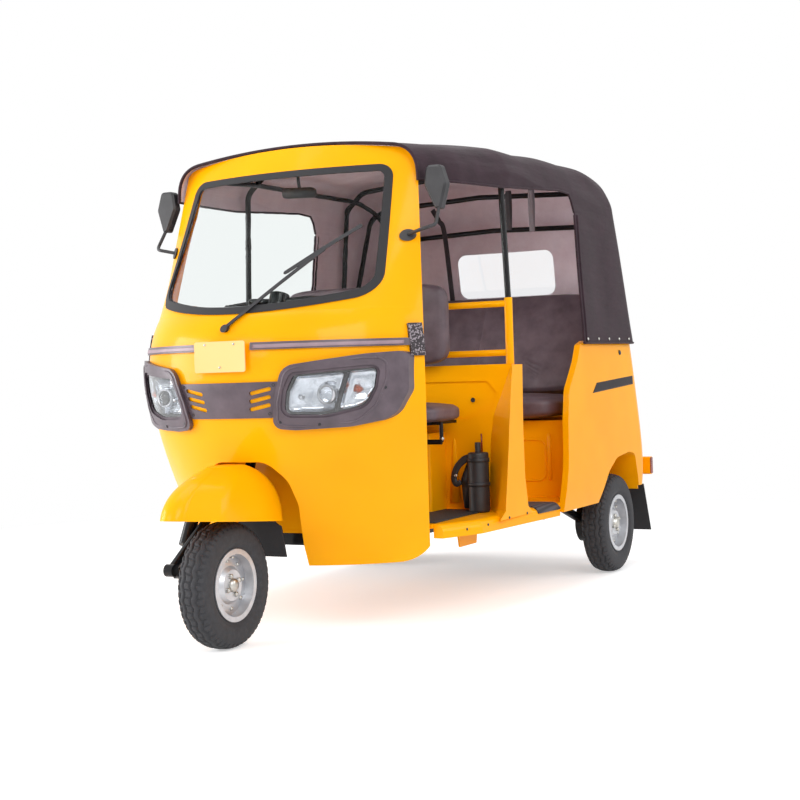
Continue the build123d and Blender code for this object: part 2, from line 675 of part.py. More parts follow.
tyre = tyre_solid()
rim = rim_solid()
wheels = {"front": (0.0, 0.0), "rear_left": (wheel_x, rear_axle), "rear_right": (-wheel_x, rear_axle)}
for name, (x, station) in wheels.items():
    place = Pos(x, station, hub_height)
    end = name.split("_")
    stem = end[0]
    tail_name = "_" + end[1] if len(end) > 1 else ""
    export(stem + "_tyre" + tail_name, place * tyre)
    export(stem + "_rim" + tail_name, place * (mirrored(rim) if x < 0 else rim))

# ---------------------------------------------------------------- steering and front fork
leg_x = -98.0
yoke = axis_point(yoke_height)
link_pivot = (leg_x, -150.0, 268.0)
fork = rod(yoke, axis_point(column_top), column_radius)
fork += rod((leg_x - 16, yoke[1], yoke_height), (22, yoke[1], yoke_height), 20)
fork += rod((leg_x, yoke[1], yoke_height), link_pivot, 15)
fork += rod(link_pivot, (leg_x, 0, hub_height), 13)
fork += rod((leg_x - 16, link_pivot[1], link_pivot[2]), (leg_x + 16, link_pivot[1], link_pivot[2]), 20)
fork += rod((leg_x - 14, 0, hub_height), (leg_x + 40, 0, hub_height), 28)
fork += rod((leg_x - 14, 0, hub_height), (34, 0, hub_height), axle_radius)
export("steering_fork", fork)

damper_x = leg_x - 44
damper = rod((damper_x, -60, 236), (damper_x, -10, 330), 9)
damper += rod((damper_x, -10, 330), (damper_x, 50, 440), 22)
damper += rod((damper_x - 10, -60, 236), (leg_x - 13.5, -60, 236), 8)
damper += rod((damper_x - 10, 50, 440), (leg_x - 2, 50, 440), 8) - rod((leg_x, yoke[1], yoke_height), link_pivot, 15.5)
export("front_damper", damper)

hub = axis_point(column_top + 16)
bars = rod(axis_point(column_top + 0.2), axis_point(column_top + 42), 34)
for side in (-1, 1):
    bars += bent_tube([
        hub, (side * 120, hub[1] + 14, hub[2] + 6), (side * 190, hub[1] + 112, hub[2] - 2), (side * 300, hub[1] + 128, hub[2] - 10),
    ], 12.5, 30)
export("handlebar", bars)

# front fender as plan sections: height, half width, front station, rear station
fender_rows = [
    (385.0, 108.0, -front_overhang, 212.0),
    (442.0, 107.0, -front_overhang, 206.0),
    (489.0, 102.0, -272.0, 192.0),
    (530.0, 92.0, -218.0, 166.0),
    (566.0, 72.0, -130.0, 128.0),
    (587.0, 44.0, -66.0, 88.0),
]
fender_wall = 5.0
# the fender's lower edge rises towards its tip
fender_hem = polygon([(-400, 451), (400, 372), (400, 800), (-400, 800)])


def fender_solid(inset):
    """Solid filling the fender, with its surface moved inwards by inset."""
    def section(row, drop):
        height, half, front, rear = row
        half, front, rear = half - inset, front + inset, rear - inset
        tip, tip_back, shoulder = 0.42 * half, front + 0.36 * half, front + 1.5 * half
        nose = ThreePointArc((-tip, tip_back), (0, front), (tip, tip_back))
        rest = Polyline(
            (tip, tip_back), (half, shoulder), (half, rear), (-half, rear), (-half, shoulder), (-tip, tip_back)
        )
        face = make_face(nose + rest)
        face = fillet([v for v in face.vertices() if abs(v.Y - shoulder) < 0.1], min(90, half))
        face = fillet([v for v in face.vertices() if abs(v.Y - rear) < 0.1], min(30, half / 2))
        return Pos(0, 0, height - drop) * face

    return loft([section(row, inset) for row in fender_rows])


fender = fender_solid(0) - fender_solid(fender_wall)
fender &= side_prism(fender_hem, -200, 200)
fender -= rod(axis_point(380), axis_point(640), column_radius + seam)
fender -= rod((leg_x - 60, yoke[1], yoke_height), (40, yoke[1], yoke_height), 20 + seam)
fender -= rod((leg_x, yoke[1], yoke_height), link_pivot, 15 + seam)
fender -= rod((damper_x, -10, 330), (damper_x, 80, 495), 30)
fender -= rod((damper_x - 20, 50, 440), (leg_x, 50, 440), 8 + seam)
export("front_fender", fender)

front_flap = side_prism(polygon([(194, 428), (199.5, 428), (204.5, 389), (236, 268), (230, 268), (198.5, 389)]), -92, 92)
flap_outline = [(74, 440), (74, 384), (92, 374), (92, 260)]
front_flap &= front_prism(polygon(flap_outline + [(-x, z) for x, z in reversed(flap_outline)]), 100, 300)
export("front_mud_flap", front_flap)

# ---------------------------------------------------------------- loose cabin equipment
canister_x, canister_station, canister_radius = 465.0, 958.0, 38.0
canister = rod((canister_x, canister_station, floor_top + 0.3), (canister_x, canister_station, 568), canister_radius)
canister = fillet(canister.edges(), 8)
canister += rod((canister_x, canister_station, 566), (canister_x, canister_station, 604), 11)
canister += block((canister_x - 14, canister_x + 4), (canister_station + canister_radius - 4, partition_front - seam), (440, 524))
export("canister", canister)
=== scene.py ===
"""Dresses the auto rickshaw: finishes on its CAD panels, and the hood, cushions, tyres, lamps and
small hardware that show at a step away. Lengths in the code are millimetres behind the front axle, up from
the ground and to the vehicle's left, unless a name says metres."""

import bpy
import bmesh
import numpy as np
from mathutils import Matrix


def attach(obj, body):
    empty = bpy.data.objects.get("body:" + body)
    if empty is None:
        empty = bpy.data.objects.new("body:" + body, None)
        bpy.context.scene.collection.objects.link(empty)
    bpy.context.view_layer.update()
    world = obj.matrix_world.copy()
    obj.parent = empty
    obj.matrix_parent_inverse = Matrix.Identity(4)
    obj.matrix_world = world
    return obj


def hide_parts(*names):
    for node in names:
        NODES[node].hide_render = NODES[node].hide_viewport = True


bl_info = {
    "name": "Auto rickshaw dressing",
    "version": (1, 0, 0),
    "blender": (4, 5, 0),
    "location": "View3D > Sidebar > Rickshaw",
    "description": "Finishes, hood, cushions, tyres, lamps and hardware for the auto rickshaw frame",
    "category": "Object",
}

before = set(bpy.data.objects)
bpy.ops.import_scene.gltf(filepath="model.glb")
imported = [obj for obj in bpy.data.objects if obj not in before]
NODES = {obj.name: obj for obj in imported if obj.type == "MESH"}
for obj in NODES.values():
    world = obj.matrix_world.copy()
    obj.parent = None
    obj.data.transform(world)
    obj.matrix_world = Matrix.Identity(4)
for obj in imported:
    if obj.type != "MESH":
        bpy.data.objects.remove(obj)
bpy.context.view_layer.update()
MIDDLE_STATION = 1053.0
AHEAD = -400.0  # a station ahead of the whole vehicle, from which points are carried rearwards
MM = 0.001  # metres in a millimetre
WELD = 0.00002  # points closer than this many metres are merged
SLIVER = 1e-7  # edges shorter than this many metres are dissolved
PI = np.pi


# ------------------------------------------------------------------ points and meshes
def row_points(points):
    """Points in millimetres behind the front axle, as metres in the row's frame."""
    moved = np.array(points, float)
    moved[..., 1] -= MIDDLE_STATION
    return moved * MM


def grid_faces(rows, columns, round_rows=False, round_columns=False):
    """Quads of a grid of rows by columns points, joined round where asked."""
    r = np.arange(rows if round_rows else rows - 1)[:, None]
    c = np.arange(columns if round_columns else columns - 1)[None, :]
    r1, c1 = (r + 1) % rows, (c + 1) % columns
    corners = (r * columns + c, r * columns + c1, r1 * columns + c1, r1 * columns + c)
    return np.stack(np.broadcast_arrays(*corners), -1).reshape(-1, 4)


def gathered(pieces):
    """Joins a list of (points, faces) into one pair."""
    starts = np.cumsum([0] + [p.reshape(-1, 3).shape[0] for p, _ in pieces[:-1]])
    points = np.concatenate([p.reshape(-1, 3) for p, _ in pieces])
    return points, np.concatenate([f + s for (_, f), s in zip(pieces, starts)])


def copied(shape, offsets):
    """The same (points, faces) at each of a table of offsets."""
    points, faces = shape
    offsets = np.asarray(offsets, float).reshape(-1, 1, 3)
    flat = points.reshape(1, -1, 3)
    starts = np.arange(len(offsets))[:, None, None] * flat.shape[1]
    return (flat + offsets).reshape(-1, 3), (faces[None] + starts).reshape(-1, 4)


def flipped(shape):
    """The shape on the vehicle's other side."""
    points, faces = shape
    return points * (-1, 1, 1), faces[:, ::-1]


def both(shape):
    """The shape and its mirror image."""
    return gathered([shape, flipped(shape)])


def make_piece(name, shape, finishes, body="body", stands_for=(), uv=None, smooth=True, weld=WELD,
               turn_out=True):
    """Puts (points, faces) into a mesh object with the finishes of the keys given, and lets it ride on a
    body."""
    points, faces = shape
    mesh = bpy.data.meshes.new(name)
    mesh.from_pydata(row_points(points.reshape(-1, 3)).tolist(), [], faces.tolist())
    for key in finishes.split():
        mesh.materials.append(finish[key])
    if uv is not None:
        layer = mesh.uv_layers.new(name="cloth")
        layer.data.foreach_set("uv", uv.reshape(-1, 2)[faces.reshape(-1)].reshape(-1))
    work = bmesh.new()
    work.from_mesh(mesh)
    if weld:
        bmesh.ops.remove_doubles(work, verts=work.verts, dist=weld)
        bmesh.ops.dissolve_degenerate(work, edges=work.edges, dist=SLIVER)
    if turn_out:
        bmesh.ops.recalc_face_normals(work, faces=work.faces)
    work.to_mesh(mesh)
    work.free()
    mesh.polygons.foreach_set("use_smooth", [smooth] * len(mesh.polygons))
    piece = bpy.data.objects.new(name, mesh)
    bpy.context.scene.collection.objects.link(piece)
    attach(piece, body)
    if stands_for:
        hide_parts(*stands_for)
    return piece


def finished(piece):
    """Applies the piece's modifiers, so that what shows is plain mesh."""
    graph = bpy.context.evaluated_depsgraph_get()
    graph.update()
    mesh = bpy.data.meshes.new_from_object(piece.evaluated_get(graph))
    piece.modifiers.clear()
    piece.data = mesh
    return piece


def laid_on(points, node, clearance, along_y=False):
    """Points moved to the nearest place on a CAD node's surface, then out by a clearance. With along_y they
    are carried rearwards from ahead of the vehicle until they meet the node."""
    mesh = bpy.data.meshes.new("lay")
    flat = row_points(points.reshape(-1, 3))
    mesh.from_pydata(flat.tolist(), [], [])
    probe = bpy.data.objects.new("lay", mesh)
    bpy.context.scene.collection.objects.link(probe)
    wrap = probe.modifiers.new("lay", "SHRINKWRAP")
    wrap.target = NODES[node]
    if along_y:
        wrap.wrap_method, wrap.use_project_y = "PROJECT", True
    else:
        wrap.wrap_method, wrap.wrap_mode = "NEAREST_SURFACEPOINT", "OUTSIDE_SURFACE"
    wrap.offset = clearance * MM
    graph = bpy.context.evaluated_depsgraph_get()
    graph.update()
    result = np.zeros(len(flat) * 3)
    probe.evaluated_get(graph).data.vertices.foreach_get("co", result)
    bpy.data.objects.remove(probe)
    result = result.reshape(points.shape) / MM
    result[..., 1] += MIDDLE_STATION
    return result


# ------------------------------------------------------------------ shapes
def unit(v):
    """Vectors scaled to length one."""
    return v / np.linalg.norm(v, axis=-1, keepdims=True)


def run_length(run):
    """Distance along a run of points to each of them."""
    return np.concatenate([[0], np.cumsum(np.linalg.norm(np.diff(run, axis=0), axis=1))])


def lapped(run):
    """Closed run, carried on over its first two points."""
    return np.concatenate([run, run[:2]])


def smooth_path(corners, count):
    """Catmull-Rom curve through the corners: each span is the cubic whose end slopes are half the
    difference of the neighbouring corners."""
    p = np.asarray(corners, float)
    ends = np.concatenate([[2 * p[0] - p[1]], p, [2 * p[-1] - p[-2]]])
    t = np.linspace(0, len(p) - 1 - 1e-9, count)
    i = t.astype(int)
    f = (t - i)[:, None]
    a, b, c, d = ends[i], ends[i + 1], ends[i + 2], ends[i + 3]
    return 0.5 * (2 * b + (c - a) * f + (2 * a - 5 * b + 4 * c - d) * f**2 + (3 * b - a - 3 * c + d) * f**3)


def tube(path, radius, around=12, flat=1.0):
    """Round bar: a circle of the given radius carried along the path, square to its tangent, closed at both
    ends. flat scales the circle square to the path's own plane."""
    path = np.asarray(path, float)
    tangent = unit(np.gradient(path, axis=0))
    spread = np.linalg.svd(path - path.mean(0), full_matrices=True)[2][-1]
    side = unit(np.cross(tangent, spread))
    up = np.cross(side, tangent)
    turn = np.linspace(0, 2 * PI, around, endpoint=False)
    size = np.broadcast_to(radius, len(path))[:, None, None]
    ring = np.cos(turn)[:, None] * side[:, None] + flat * np.sin(turn)[:, None] * up[:, None]
    points = path[:, None] + size * ring
    points = np.concatenate([path[:1, None] + 0 * points[:1], points, path[-1:, None] + 0 * points[-1:]])
    return points, grid_faces(len(points), around, round_columns=True)


def turned(profile, centre, axis, around=24):
    """Surface of revolution: each (distance along the axis, radius) of the profile turned about the axis."""
    profile = np.asarray(profile, float)
    axis = unit(np.asarray(axis, float))
    helper = np.array((0.0, 0.0, 1.0)) if abs(axis[2]) < 0.9 else np.array((1.0, 0.0, 0.0))
    side = unit(np.cross(axis, helper))
    up = np.cross(axis, side)
    turn = np.linspace(0, 2 * PI, around, endpoint=False)[None, :, None]
    ring = np.cos(turn) * side + np.sin(turn) * up
    points = np.asarray(centre, float) + profile[:, 0, None, None] * axis + profile[:, 1, None, None] * ring
    return points, grid_faces(len(profile), around, round_columns=True)


DOME = [(0.0, 1.0), (0.25, 0.98), (0.5, 0.8), (0.62, 0.45), (0.66, 0.0)]
HEX_NUT = [(0.0, 1.0), (0.7, 1.0), (0.85, 0.9), (0.85, 0.55), (1.15, 0.5), (1.2, 0.0)]
HOLE_SHADE_DISC = [(0, 1.0), (0.2, 1.0), (0.2, 0.7), (-0.3, 0.6), (-0.3, 0)]


def studs(centres, axis, radius, profile=DOME, around=12):
    """A small turned head at each centre, its profile scaled by the radius."""
    shape = turned(np.asarray(profile) * radius, (0, 0, 0), axis, around)
    return copied(shape, centres)


def bolt_circle(count, start, x, radius, size):
    """Hexagon heads evenly round a circle about the X axis, the first at an angle of start."""
    turn = np.arange(count) * 2 * PI / count + start
    spots = np.stack([np.full(count, x), radius * np.cos(turn), radius * np.sin(turn)], -1)
    return studs(spots, (1, 0, 0), size, HEX_NUT, 6)


def cushion(size, crown, pull, channels):
    """Closed pad centred on the origin. In plan it is |x/a|^corner + |y/b|^corner = 1, resampled evenly, with
    its long sides pulled in between the corners; from top to bottom it is the same law with exponent edge.
    The top is crowned by (1 - (x/a)^2)(1 - (y/b)^2) and puckered near its edges by a product of sines. Piping
    stands out round the top edge, and each channel is a groove of Gaussian section across the pad."""
    corner, edge = 7.0, 4.0
    depth, piping = 6.0, 4.0
    rows, around = 72, 240
    a, b, c = np.asarray(size, float) / 2
    turn = np.linspace(0, 2 * PI, 4001)
    reach = (np.abs(np.cos(turn) / a) ** corner + np.abs(np.sin(turn) / b) ** corner) ** (-1 / corner)
    outline = np.stack([reach * np.cos(turn), reach * np.sin(turn)], 1)
    length = run_length(outline)
    even = np.linspace(0, length[-1], around, endpoint=False)
    outline = np.stack([np.interp(even, length, outline[:, 0]), np.interp(even, length, outline[:, 1])], 1)
    tilt = np.linspace(-PI / 2, PI / 2, rows)
    power = (np.abs(np.cos(tilt)) ** edge + np.abs(np.sin(tilt)) ** edge) ** (-1 / edge)
    inward, height = np.cos(tilt) * power, np.sin(tilt) * power
    rim = np.exp(-(((height - 0.72) / 0.05) ** 2)) * (inward > 0.8)
    x = outline[None, :, 0] * inward[:, None] + rim[:, None] * piping * outline[None, :, 0] / a
    y = outline[None, :, 1] * inward[:, None] + rim[:, None] * piping * outline[None, :, 1] / b
    y = y * (1 - pull * (1 - (x / a) ** 2) * (1 - np.abs(height[:, None])))
    z = c * height[:, None] + crown * (1 - (x / a) ** 2) * (1 - (y / b) ** 2) * (height[:, None] > 0)
    near_end = np.exp(-(((np.abs(x) - a) / 75.0) ** 2)) + np.exp(-(((np.abs(y) - b) / 45.0) ** 2))
    ripple = np.sin(x / 9.0 + 2.2 * np.sin(y / 37.0)) * np.sin(y / 26.0 + x / 61.0)
    z = z + 1.3 * ripple * near_end * np.clip(height[:, None], 0, 1)
    for line in channels:
        z = z - depth * np.exp(-(((x - line) / 7.0) ** 2)) * np.clip(height[:, None], 0, 1) ** 4
    return np.stack([x, y, z], -1), grid_faces(rows, around, round_columns=True)


def turned_about_x(points, degrees):
    """Points turned about the X axis."""
    c, s = np.cos(np.radians(degrees)), np.sin(np.radians(degrees))
    x, y, z = points[..., 0], points[..., 1], points[..., 2]
    return np.stack([x, c * y - s * z, s * y + c * z], -1)


def patch(corners, rows=12, columns=24):
    """Bilinear patch through four corners: low left, low right, top right, top left."""
    a, b, c, d = np.asarray(corners, float)
    u = np.linspace(0, 1, columns)[None, :, None]
    v = np.linspace(0, 1, rows)[:, None, None]
    return (1 - v) * ((1 - u) * a + u * b) + v * ((1 - u) * d + u * c)


def slab(grid, low, high):
    """Closed plate over a grid of surface points: the grid moved along its own normals by low and by high,
    its rim joined round."""
    across, up = np.gradient(grid, axis=1), np.gradient(grid, axis=0)
    normal = unit(np.cross(across, up))
    under, over = grid + normal * low, grid + normal * high
    rows, columns = grid.shape[:2]
    wide = ((1, 1), (1, 1), (0, 0))
    top, base = np.pad(over, wide, mode="edge"), np.pad(under, wide, mode="edge")
    rim = np.zeros((rows + 2, columns + 2, 1), bool)
    rim[[0, -1]] = rim[:, [0, -1]] = True
    top = np.where(rim, base, top)
    return gathered([(top, grid_faces(rows + 2, columns + 2)), (under, grid_faces(rows, columns)[:, ::-1])])


def rounded_run(corners, count=8):
    """Closed outline of corners given as (across, up, radius): at each corner the arc that touches both its
    sides, its centre on the bisector at radius / sin(half angle)."""
    table = np.asarray(corners, float)
    at, radius = table[:, :2], table[:, 2:]
    back, on = unit(np.roll(at, 1, 0) - at), unit(np.roll(at, -1, 0) - at)
    half = np.arccos(np.clip(np.sum(back * on, 1, keepdims=True), -1, 1)) / 2
    centre = at + unit(back + on) * radius / np.sin(half)
    first, last = at + back * radius / np.tan(half) - centre, at + on * radius / np.tan(half) - centre
    t = np.linspace(0, 1, count)[None, :, None]
    run = unit((1 - t) * first[:, None] + t * last[:, None] + 1e-9) * radius[:, None]
    return (centre[:, None] + run).reshape(-1, 2)


# ------------------------------------------------------------------ materials
WAVE = 314.16  # scale at which a wave texture repeats every millimetre


def linear(code):
    """sRGB hex colour as linear RGBA."""
    srgb = np.array([int(code[i : i + 2], 16) for i in (1, 3, 5)]) / 255
    rgb = np.where(srgb <= 0.04045, srgb / 12.92, ((srgb + 0.055) / 1.055) ** 2.4)
    return (*rgb.tolist(), 1.0)


def add(tree, kind, inputs=(), **settings):
    """Adds a node, sets its attributes, and gives each named or numbered input a value or a link."""
    node = tree.nodes.new(kind)
    for key, value in settings.items():
        setattr(node, key, value)
    for key, value in dict(inputs).items():
        if isinstance(value, bpy.types.NodeSocket):
            tree.links.new(value, node.inputs[key])
        else:
            node.inputs[key].default_value = value
    return node


def new_material(name):
    """Empty node material, its tree, and the object coordinates of its surface."""
    material = bpy.data.materials.new(name)
    material.use_nodes = True
    tree = material.node_tree
    tree.nodes.clear()
    return material, tree, add(tree, "ShaderNodeTexCoord").outputs["Object"]


def grain(tree, place, millimetres, detail=3.0, roughness=0.55):
    """Noise whose lumps are about this many millimetres across."""
    inputs = {"Vector": place, "Scale": 1000.0 / millimetres, "Detail": detail, "Roughness": roughness}
    return add(tree, "ShaderNodeTexNoise", inputs).outputs["Fac"]


def between(tree, fac, low, high, colours=None):
    """Maps 0 to 1 onto low to high, or blends the first colour into the second between low and high."""
    if colours:
        ramp = add(tree, "ShaderNodeValToRGB", {"Fac": fac})
        for stop, at, colour in zip(ramp.color_ramp.elements, (low, high), colours):
            stop.position, stop.color = at, linear(colour)
        return ramp.outputs["Color"]
    inputs = {"Value": fac, "To Min": low, "To Max": high}
    return add(tree, "ShaderNodeMapRange", inputs).outputs["Result"]


def relief(tree, height, millimetres, strength=1.0, under=None):
    """Bump whose full height is this many millimetres."""
    inputs = {"Height": height, "Distance": millimetres * MM, "Strength": strength}
    if under is not None:
        inputs["Normal"] = under
    return add(tree, "ShaderNodeBump", inputs).outputs["Normal"]


def surfaced(material, inputs):
    """The material, with a principled surface joined to its output."""
    tree = material.node_tree
    shader = add(tree, "ShaderNodeBsdfPrincipled", inputs)
    add(tree, "ShaderNodeOutputMaterial", {"Surface": shader.outputs["BSDF"]})
    return material


def sprayed_enamel(name, light, dark, rough=0.3, coat=0.18):
    """Stoved enamel on pressed steel, sprayed: a clear gloss over a colour that drifts a little across the
    panels, with the faint orange peel of the spray."""
    material, tree, place = new_material(name)
    drift = grain(tree, place, 420, 2.0)
    dust = grain(tree, place, 24, 4.0)
    normal = relief(tree, grain(tree, place, 7, 1.0), 0.12, 0.12)
    return surfaced(material, {
        "Base Color": between(tree, drift, 0.3, 0.7, (dark, light)),
        "Roughness": between(tree, dust, rough - 0.05, rough + 0.07), "Specular IOR Level": 0.05,
        "Coat Weight": coat, "Coat Roughness": 0.1, "Normal": normal,
    })


def moulded_plastic(name, light, dark, rough=0.42):
    """Moulded ABS or polypropylene: the fine spark-eroded grain of its tool, and a satin sheen."""
    material, tree, place = new_material(name)
    # the real grain is about 0.4 mm; drawn at 1.6 mm so that it shows
    fine = grain(tree, place, 1.6, 2.0)
    return surfaced(material, {
        "Base Color": between(tree, grain(tree, place, 60, 3.0), 0.3, 0.7, (dark, light)),
        "Roughness": between(tree, fine, rough - 0.08, rough + 0.1),
        "Normal": relief(tree, fine, 0.15, 0.27),
    })


def coated_canvas(name, light, dark, rough=0.55):
    """PVC-coated polyester canvas: plain weave under a thin coat, dull, with a slight mauve cast, rubbed
    paler in patches."""
    material, tree, place = new_material(name)
    uv = add(tree, "ShaderNodeUVMap", uv_map="cloth").outputs["UV"]
    # threads 1.2 mm apart, drawn at 3.1 mm so that they show; the map is in metres
    warp = add(tree, "ShaderNodeTexWave", {"Vector": uv, "Scale": 100.0}, bands_direction="X")
    weft = add(tree, "ShaderNodeTexWave", {"Vector": uv, "Scale": 100.0}, bands_direction="Y")
    threads = {0: warp.outputs["Fac"], 1: weft.outputs["Fac"]}
    weave = add(tree, "ShaderNodeMath", threads, operation="MULTIPLY")
    rubbed = grain(tree, place, 90, 5.0, 0.65)
    # creases run lengthwise, seven times as long as they are wide
    drawn = add(tree, "ShaderNodeMapping", {"Vector": place, "Scale": (1.0, 0.14, 1.0)}).outputs["Vector"]
    creases = relief(tree, grain(tree, drawn, 38, 3.0), 9.0, 0.55)
    soft = relief(tree, grain(tree, place, 55, 4.0), 3.0, 0.3, creases)
    return surfaced(material, {
        "Base Color": between(tree, rubbed, 0.25, 0.8, (dark, light)),
        "Roughness": between(tree, rubbed, rough - 0.06, rough + 0.12),
        "Sheen Weight": 0.06, "Sheen Roughness": 0.5, "Specular IOR Level": 0.1,
        "Normal": relief(tree, weave.outputs[0], 0.35, 0.35, soft),
    })


def seat_vinyl(name, light, dark):
    """Embossed PVC leathercloth: pebbled grain, glossier on its crowns than in its valleys."""
    material, tree, place = new_material(name)
    # pebbles about 1.5 mm across, drawn at 3.5 mm so that they show
    pebble = add(tree, "ShaderNodeTexVoronoi", {"Vector": place, "Scale": 285.0}, feature="DISTANCE_TO_EDGE")
    crown = between(tree, pebble.outputs["Distance"], 0.0, 1.0)
    return surfaced(material, {
        "Base Color": between(tree, grain(tree, place, 70, 4.0), 0.3, 0.75, (dark, light)),
        "Roughness": between(tree, crown, 0.5, 0.34),
        "Normal": relief(tree, crown, 0.5, 0.5, relief(tree, grain(tree, place, 80, 3.0), 3.0, 0.25)),
    })


def tyre_rubber(name, light, dark):
    """Carbon-black tyre rubber: matt, greyer where it has scuffed and dried."""
    material, tree, place = new_material(name)
    scuff = grain(tree, place, 18, 6.0, 0.7)
    return surfaced(material, {
        "Base Color": between(tree, scuff, 0.35, 0.75, (dark, light)),
        "Roughness": between(tree, scuff, 0.62, 0.85),
        "Normal": relief(tree, grain(tree, place, 2.2, 2.0), 0.2, 0.4),
    })


def clear_plate(name, tint, ior=1.5, rough=0.0, weight=1.0):
    """Clear or tinted plate, of glass or plastic, with faint wipe marks in its gloss."""
    material, tree, place = new_material(name)
    smear = grain(tree, place, 130, 3.0)
    return surfaced(material, {
        "Base Color": linear(tint), "IOR": ior, "Transmission Weight": weight,
        "Roughness": between(tree, smear, rough, rough + 0.03),
    })


def bright_metal(name, light, dark, rough=0.3, metallic=1.0, scale=3.0):
    """Bright metal, plated or silver painted: fine grain in its gloss and a slightly mottled tone."""
    material, tree, place = new_material(name)
    fine = grain(tree, place, scale, 3.0)
    return surfaced(material, {
        "Base Color": between(tree, grain(tree, place, 35, 4.0), 0.3, 0.7, (dark, light)),
        "Metallic": metallic, "Roughness": between(tree, fine, rough - 0.06, rough + 0.08),
        "Normal": relief(tree, fine, 0.1, 0.25),
    })


def ribbed_rubber(name, light, dark, pitch):
    """Ribbed rubber matting: ribs at a real pitch in millimetres, paler on top than in the grooves."""
    material, tree, place = new_material(name)
    rib = add(tree, "ShaderNodeTexWave", {"Vector": place, "Scale": WAVE / pitch}, bands_direction="X")
    return surfaced(material, {
        "Base Color": between(tree, rib.outputs["Fac"], 0.1, 0.8, (dark, light)),
        "Roughness": 0.7, "Normal": relief(tree, rib.outputs["Fac"], 2.0, 0.8),
    })


def speckled_pad(name, ground, speck):
    """Granulated rubber: black crumb with pale chips pressed in, the pale ones the Voronoi cells whose random
    value is high, each cell standing out a little."""
    material, tree, place = new_material(name)
    # chips are about 3 mm across, drawn at 5 mm so that they show
    cells = add(tree, "ShaderNodeTexVoronoi", {"Vector": place, "Scale": 1000.0 / 5})
    pale = add(tree, "ShaderNodeSeparateColor", {"Color": cells.outputs["Color"]}).outputs["Red"]
    return surfaced(material, {
        "Base Color": between(tree, pale, 0.66, 0.72, (ground, speck)), "Roughness": 0.7,
        "Normal": relief(tree, between(tree, cells.outputs["Distance"], 1.0, 0.0), 0.8, 0.7),
    })


def woven_webbing(name, light, dark):
    """Nylon webbing: ribs of its weave across the strap, 2.5 mm apart, with a dull sheen."""
    material, tree, place = new_material(name)
    rib = add(tree, "ShaderNodeTexWave", {"Vector": place, "Scale": WAVE / 2.5}, bands_direction="Z")
    return surfaced(material, {
        "Base Color": between(tree, rib.outputs["Fac"], 0.2, 0.8, (dark, light)), "Roughness": 0.65,
        "Sheen Weight": 0.15, "Normal": relief(tree, rib.outputs["Fac"], 0.4, 0.6),
    })


def colour(name, description, default):
    """Property that holds a colour as sRGB hex."""
    return bpy.props.StringProperty(name=name, description=description + ", as sRGB hex", default=default)


def size_in_mm(name, description, default, least=0.0):
    """Property that holds a size in millimetres."""
    return bpy.props.FloatProperty(name=name, description=description + ", in mm", default=default, min=least)


class RickshawFinishes(bpy.types.PropertyGroup):
    """Colours of the finishes."""
    body_light: colour("Body enamel", "Body colour", "#FFB005")
    body_dark: colour("Body enamel, deeper", "Deeper drift of the body colour", "#FDA400")
    hood_light: colour("Hood, rubbed", "Hood canvas where rubbed", "#3D2C34")
    hood_dark: colour("Hood", "Hood canvas", "#271A20")
    # the cloth's own pale mauve grey, made paler still as painted light for the light that shines through the
    # canvas
    lining: colour("Hood lining", "Back of the hood canvas", "#D6C4CD")
    plastic: colour("Trim plastic", "Moulded trim", "#5E5159")


class RickshawHood(bpy.types.PropertyGroup):
    """Sizes of the canvas hood."""
    sag: size_in_mm("Sag", "Sag of the canvas between bows", 9.0)
    fold: size_in_mm("Folds", "Height of the canvas's soft folds", 6.5)
    thickness: size_in_mm("Canvas", "Canvas thickness", 2.0, 0.5)


class RickshawTyre(bpy.types.PropertyGroup):
    """Sizes of the tyres' tread."""
    blocks: bpy.props.IntProperty(name="Blocks", description="Tread blocks round the tyre", default=52, min=8)
    groove: size_in_mm("Groove", "Depth of the tread grooves", 6.0)


finish = {}


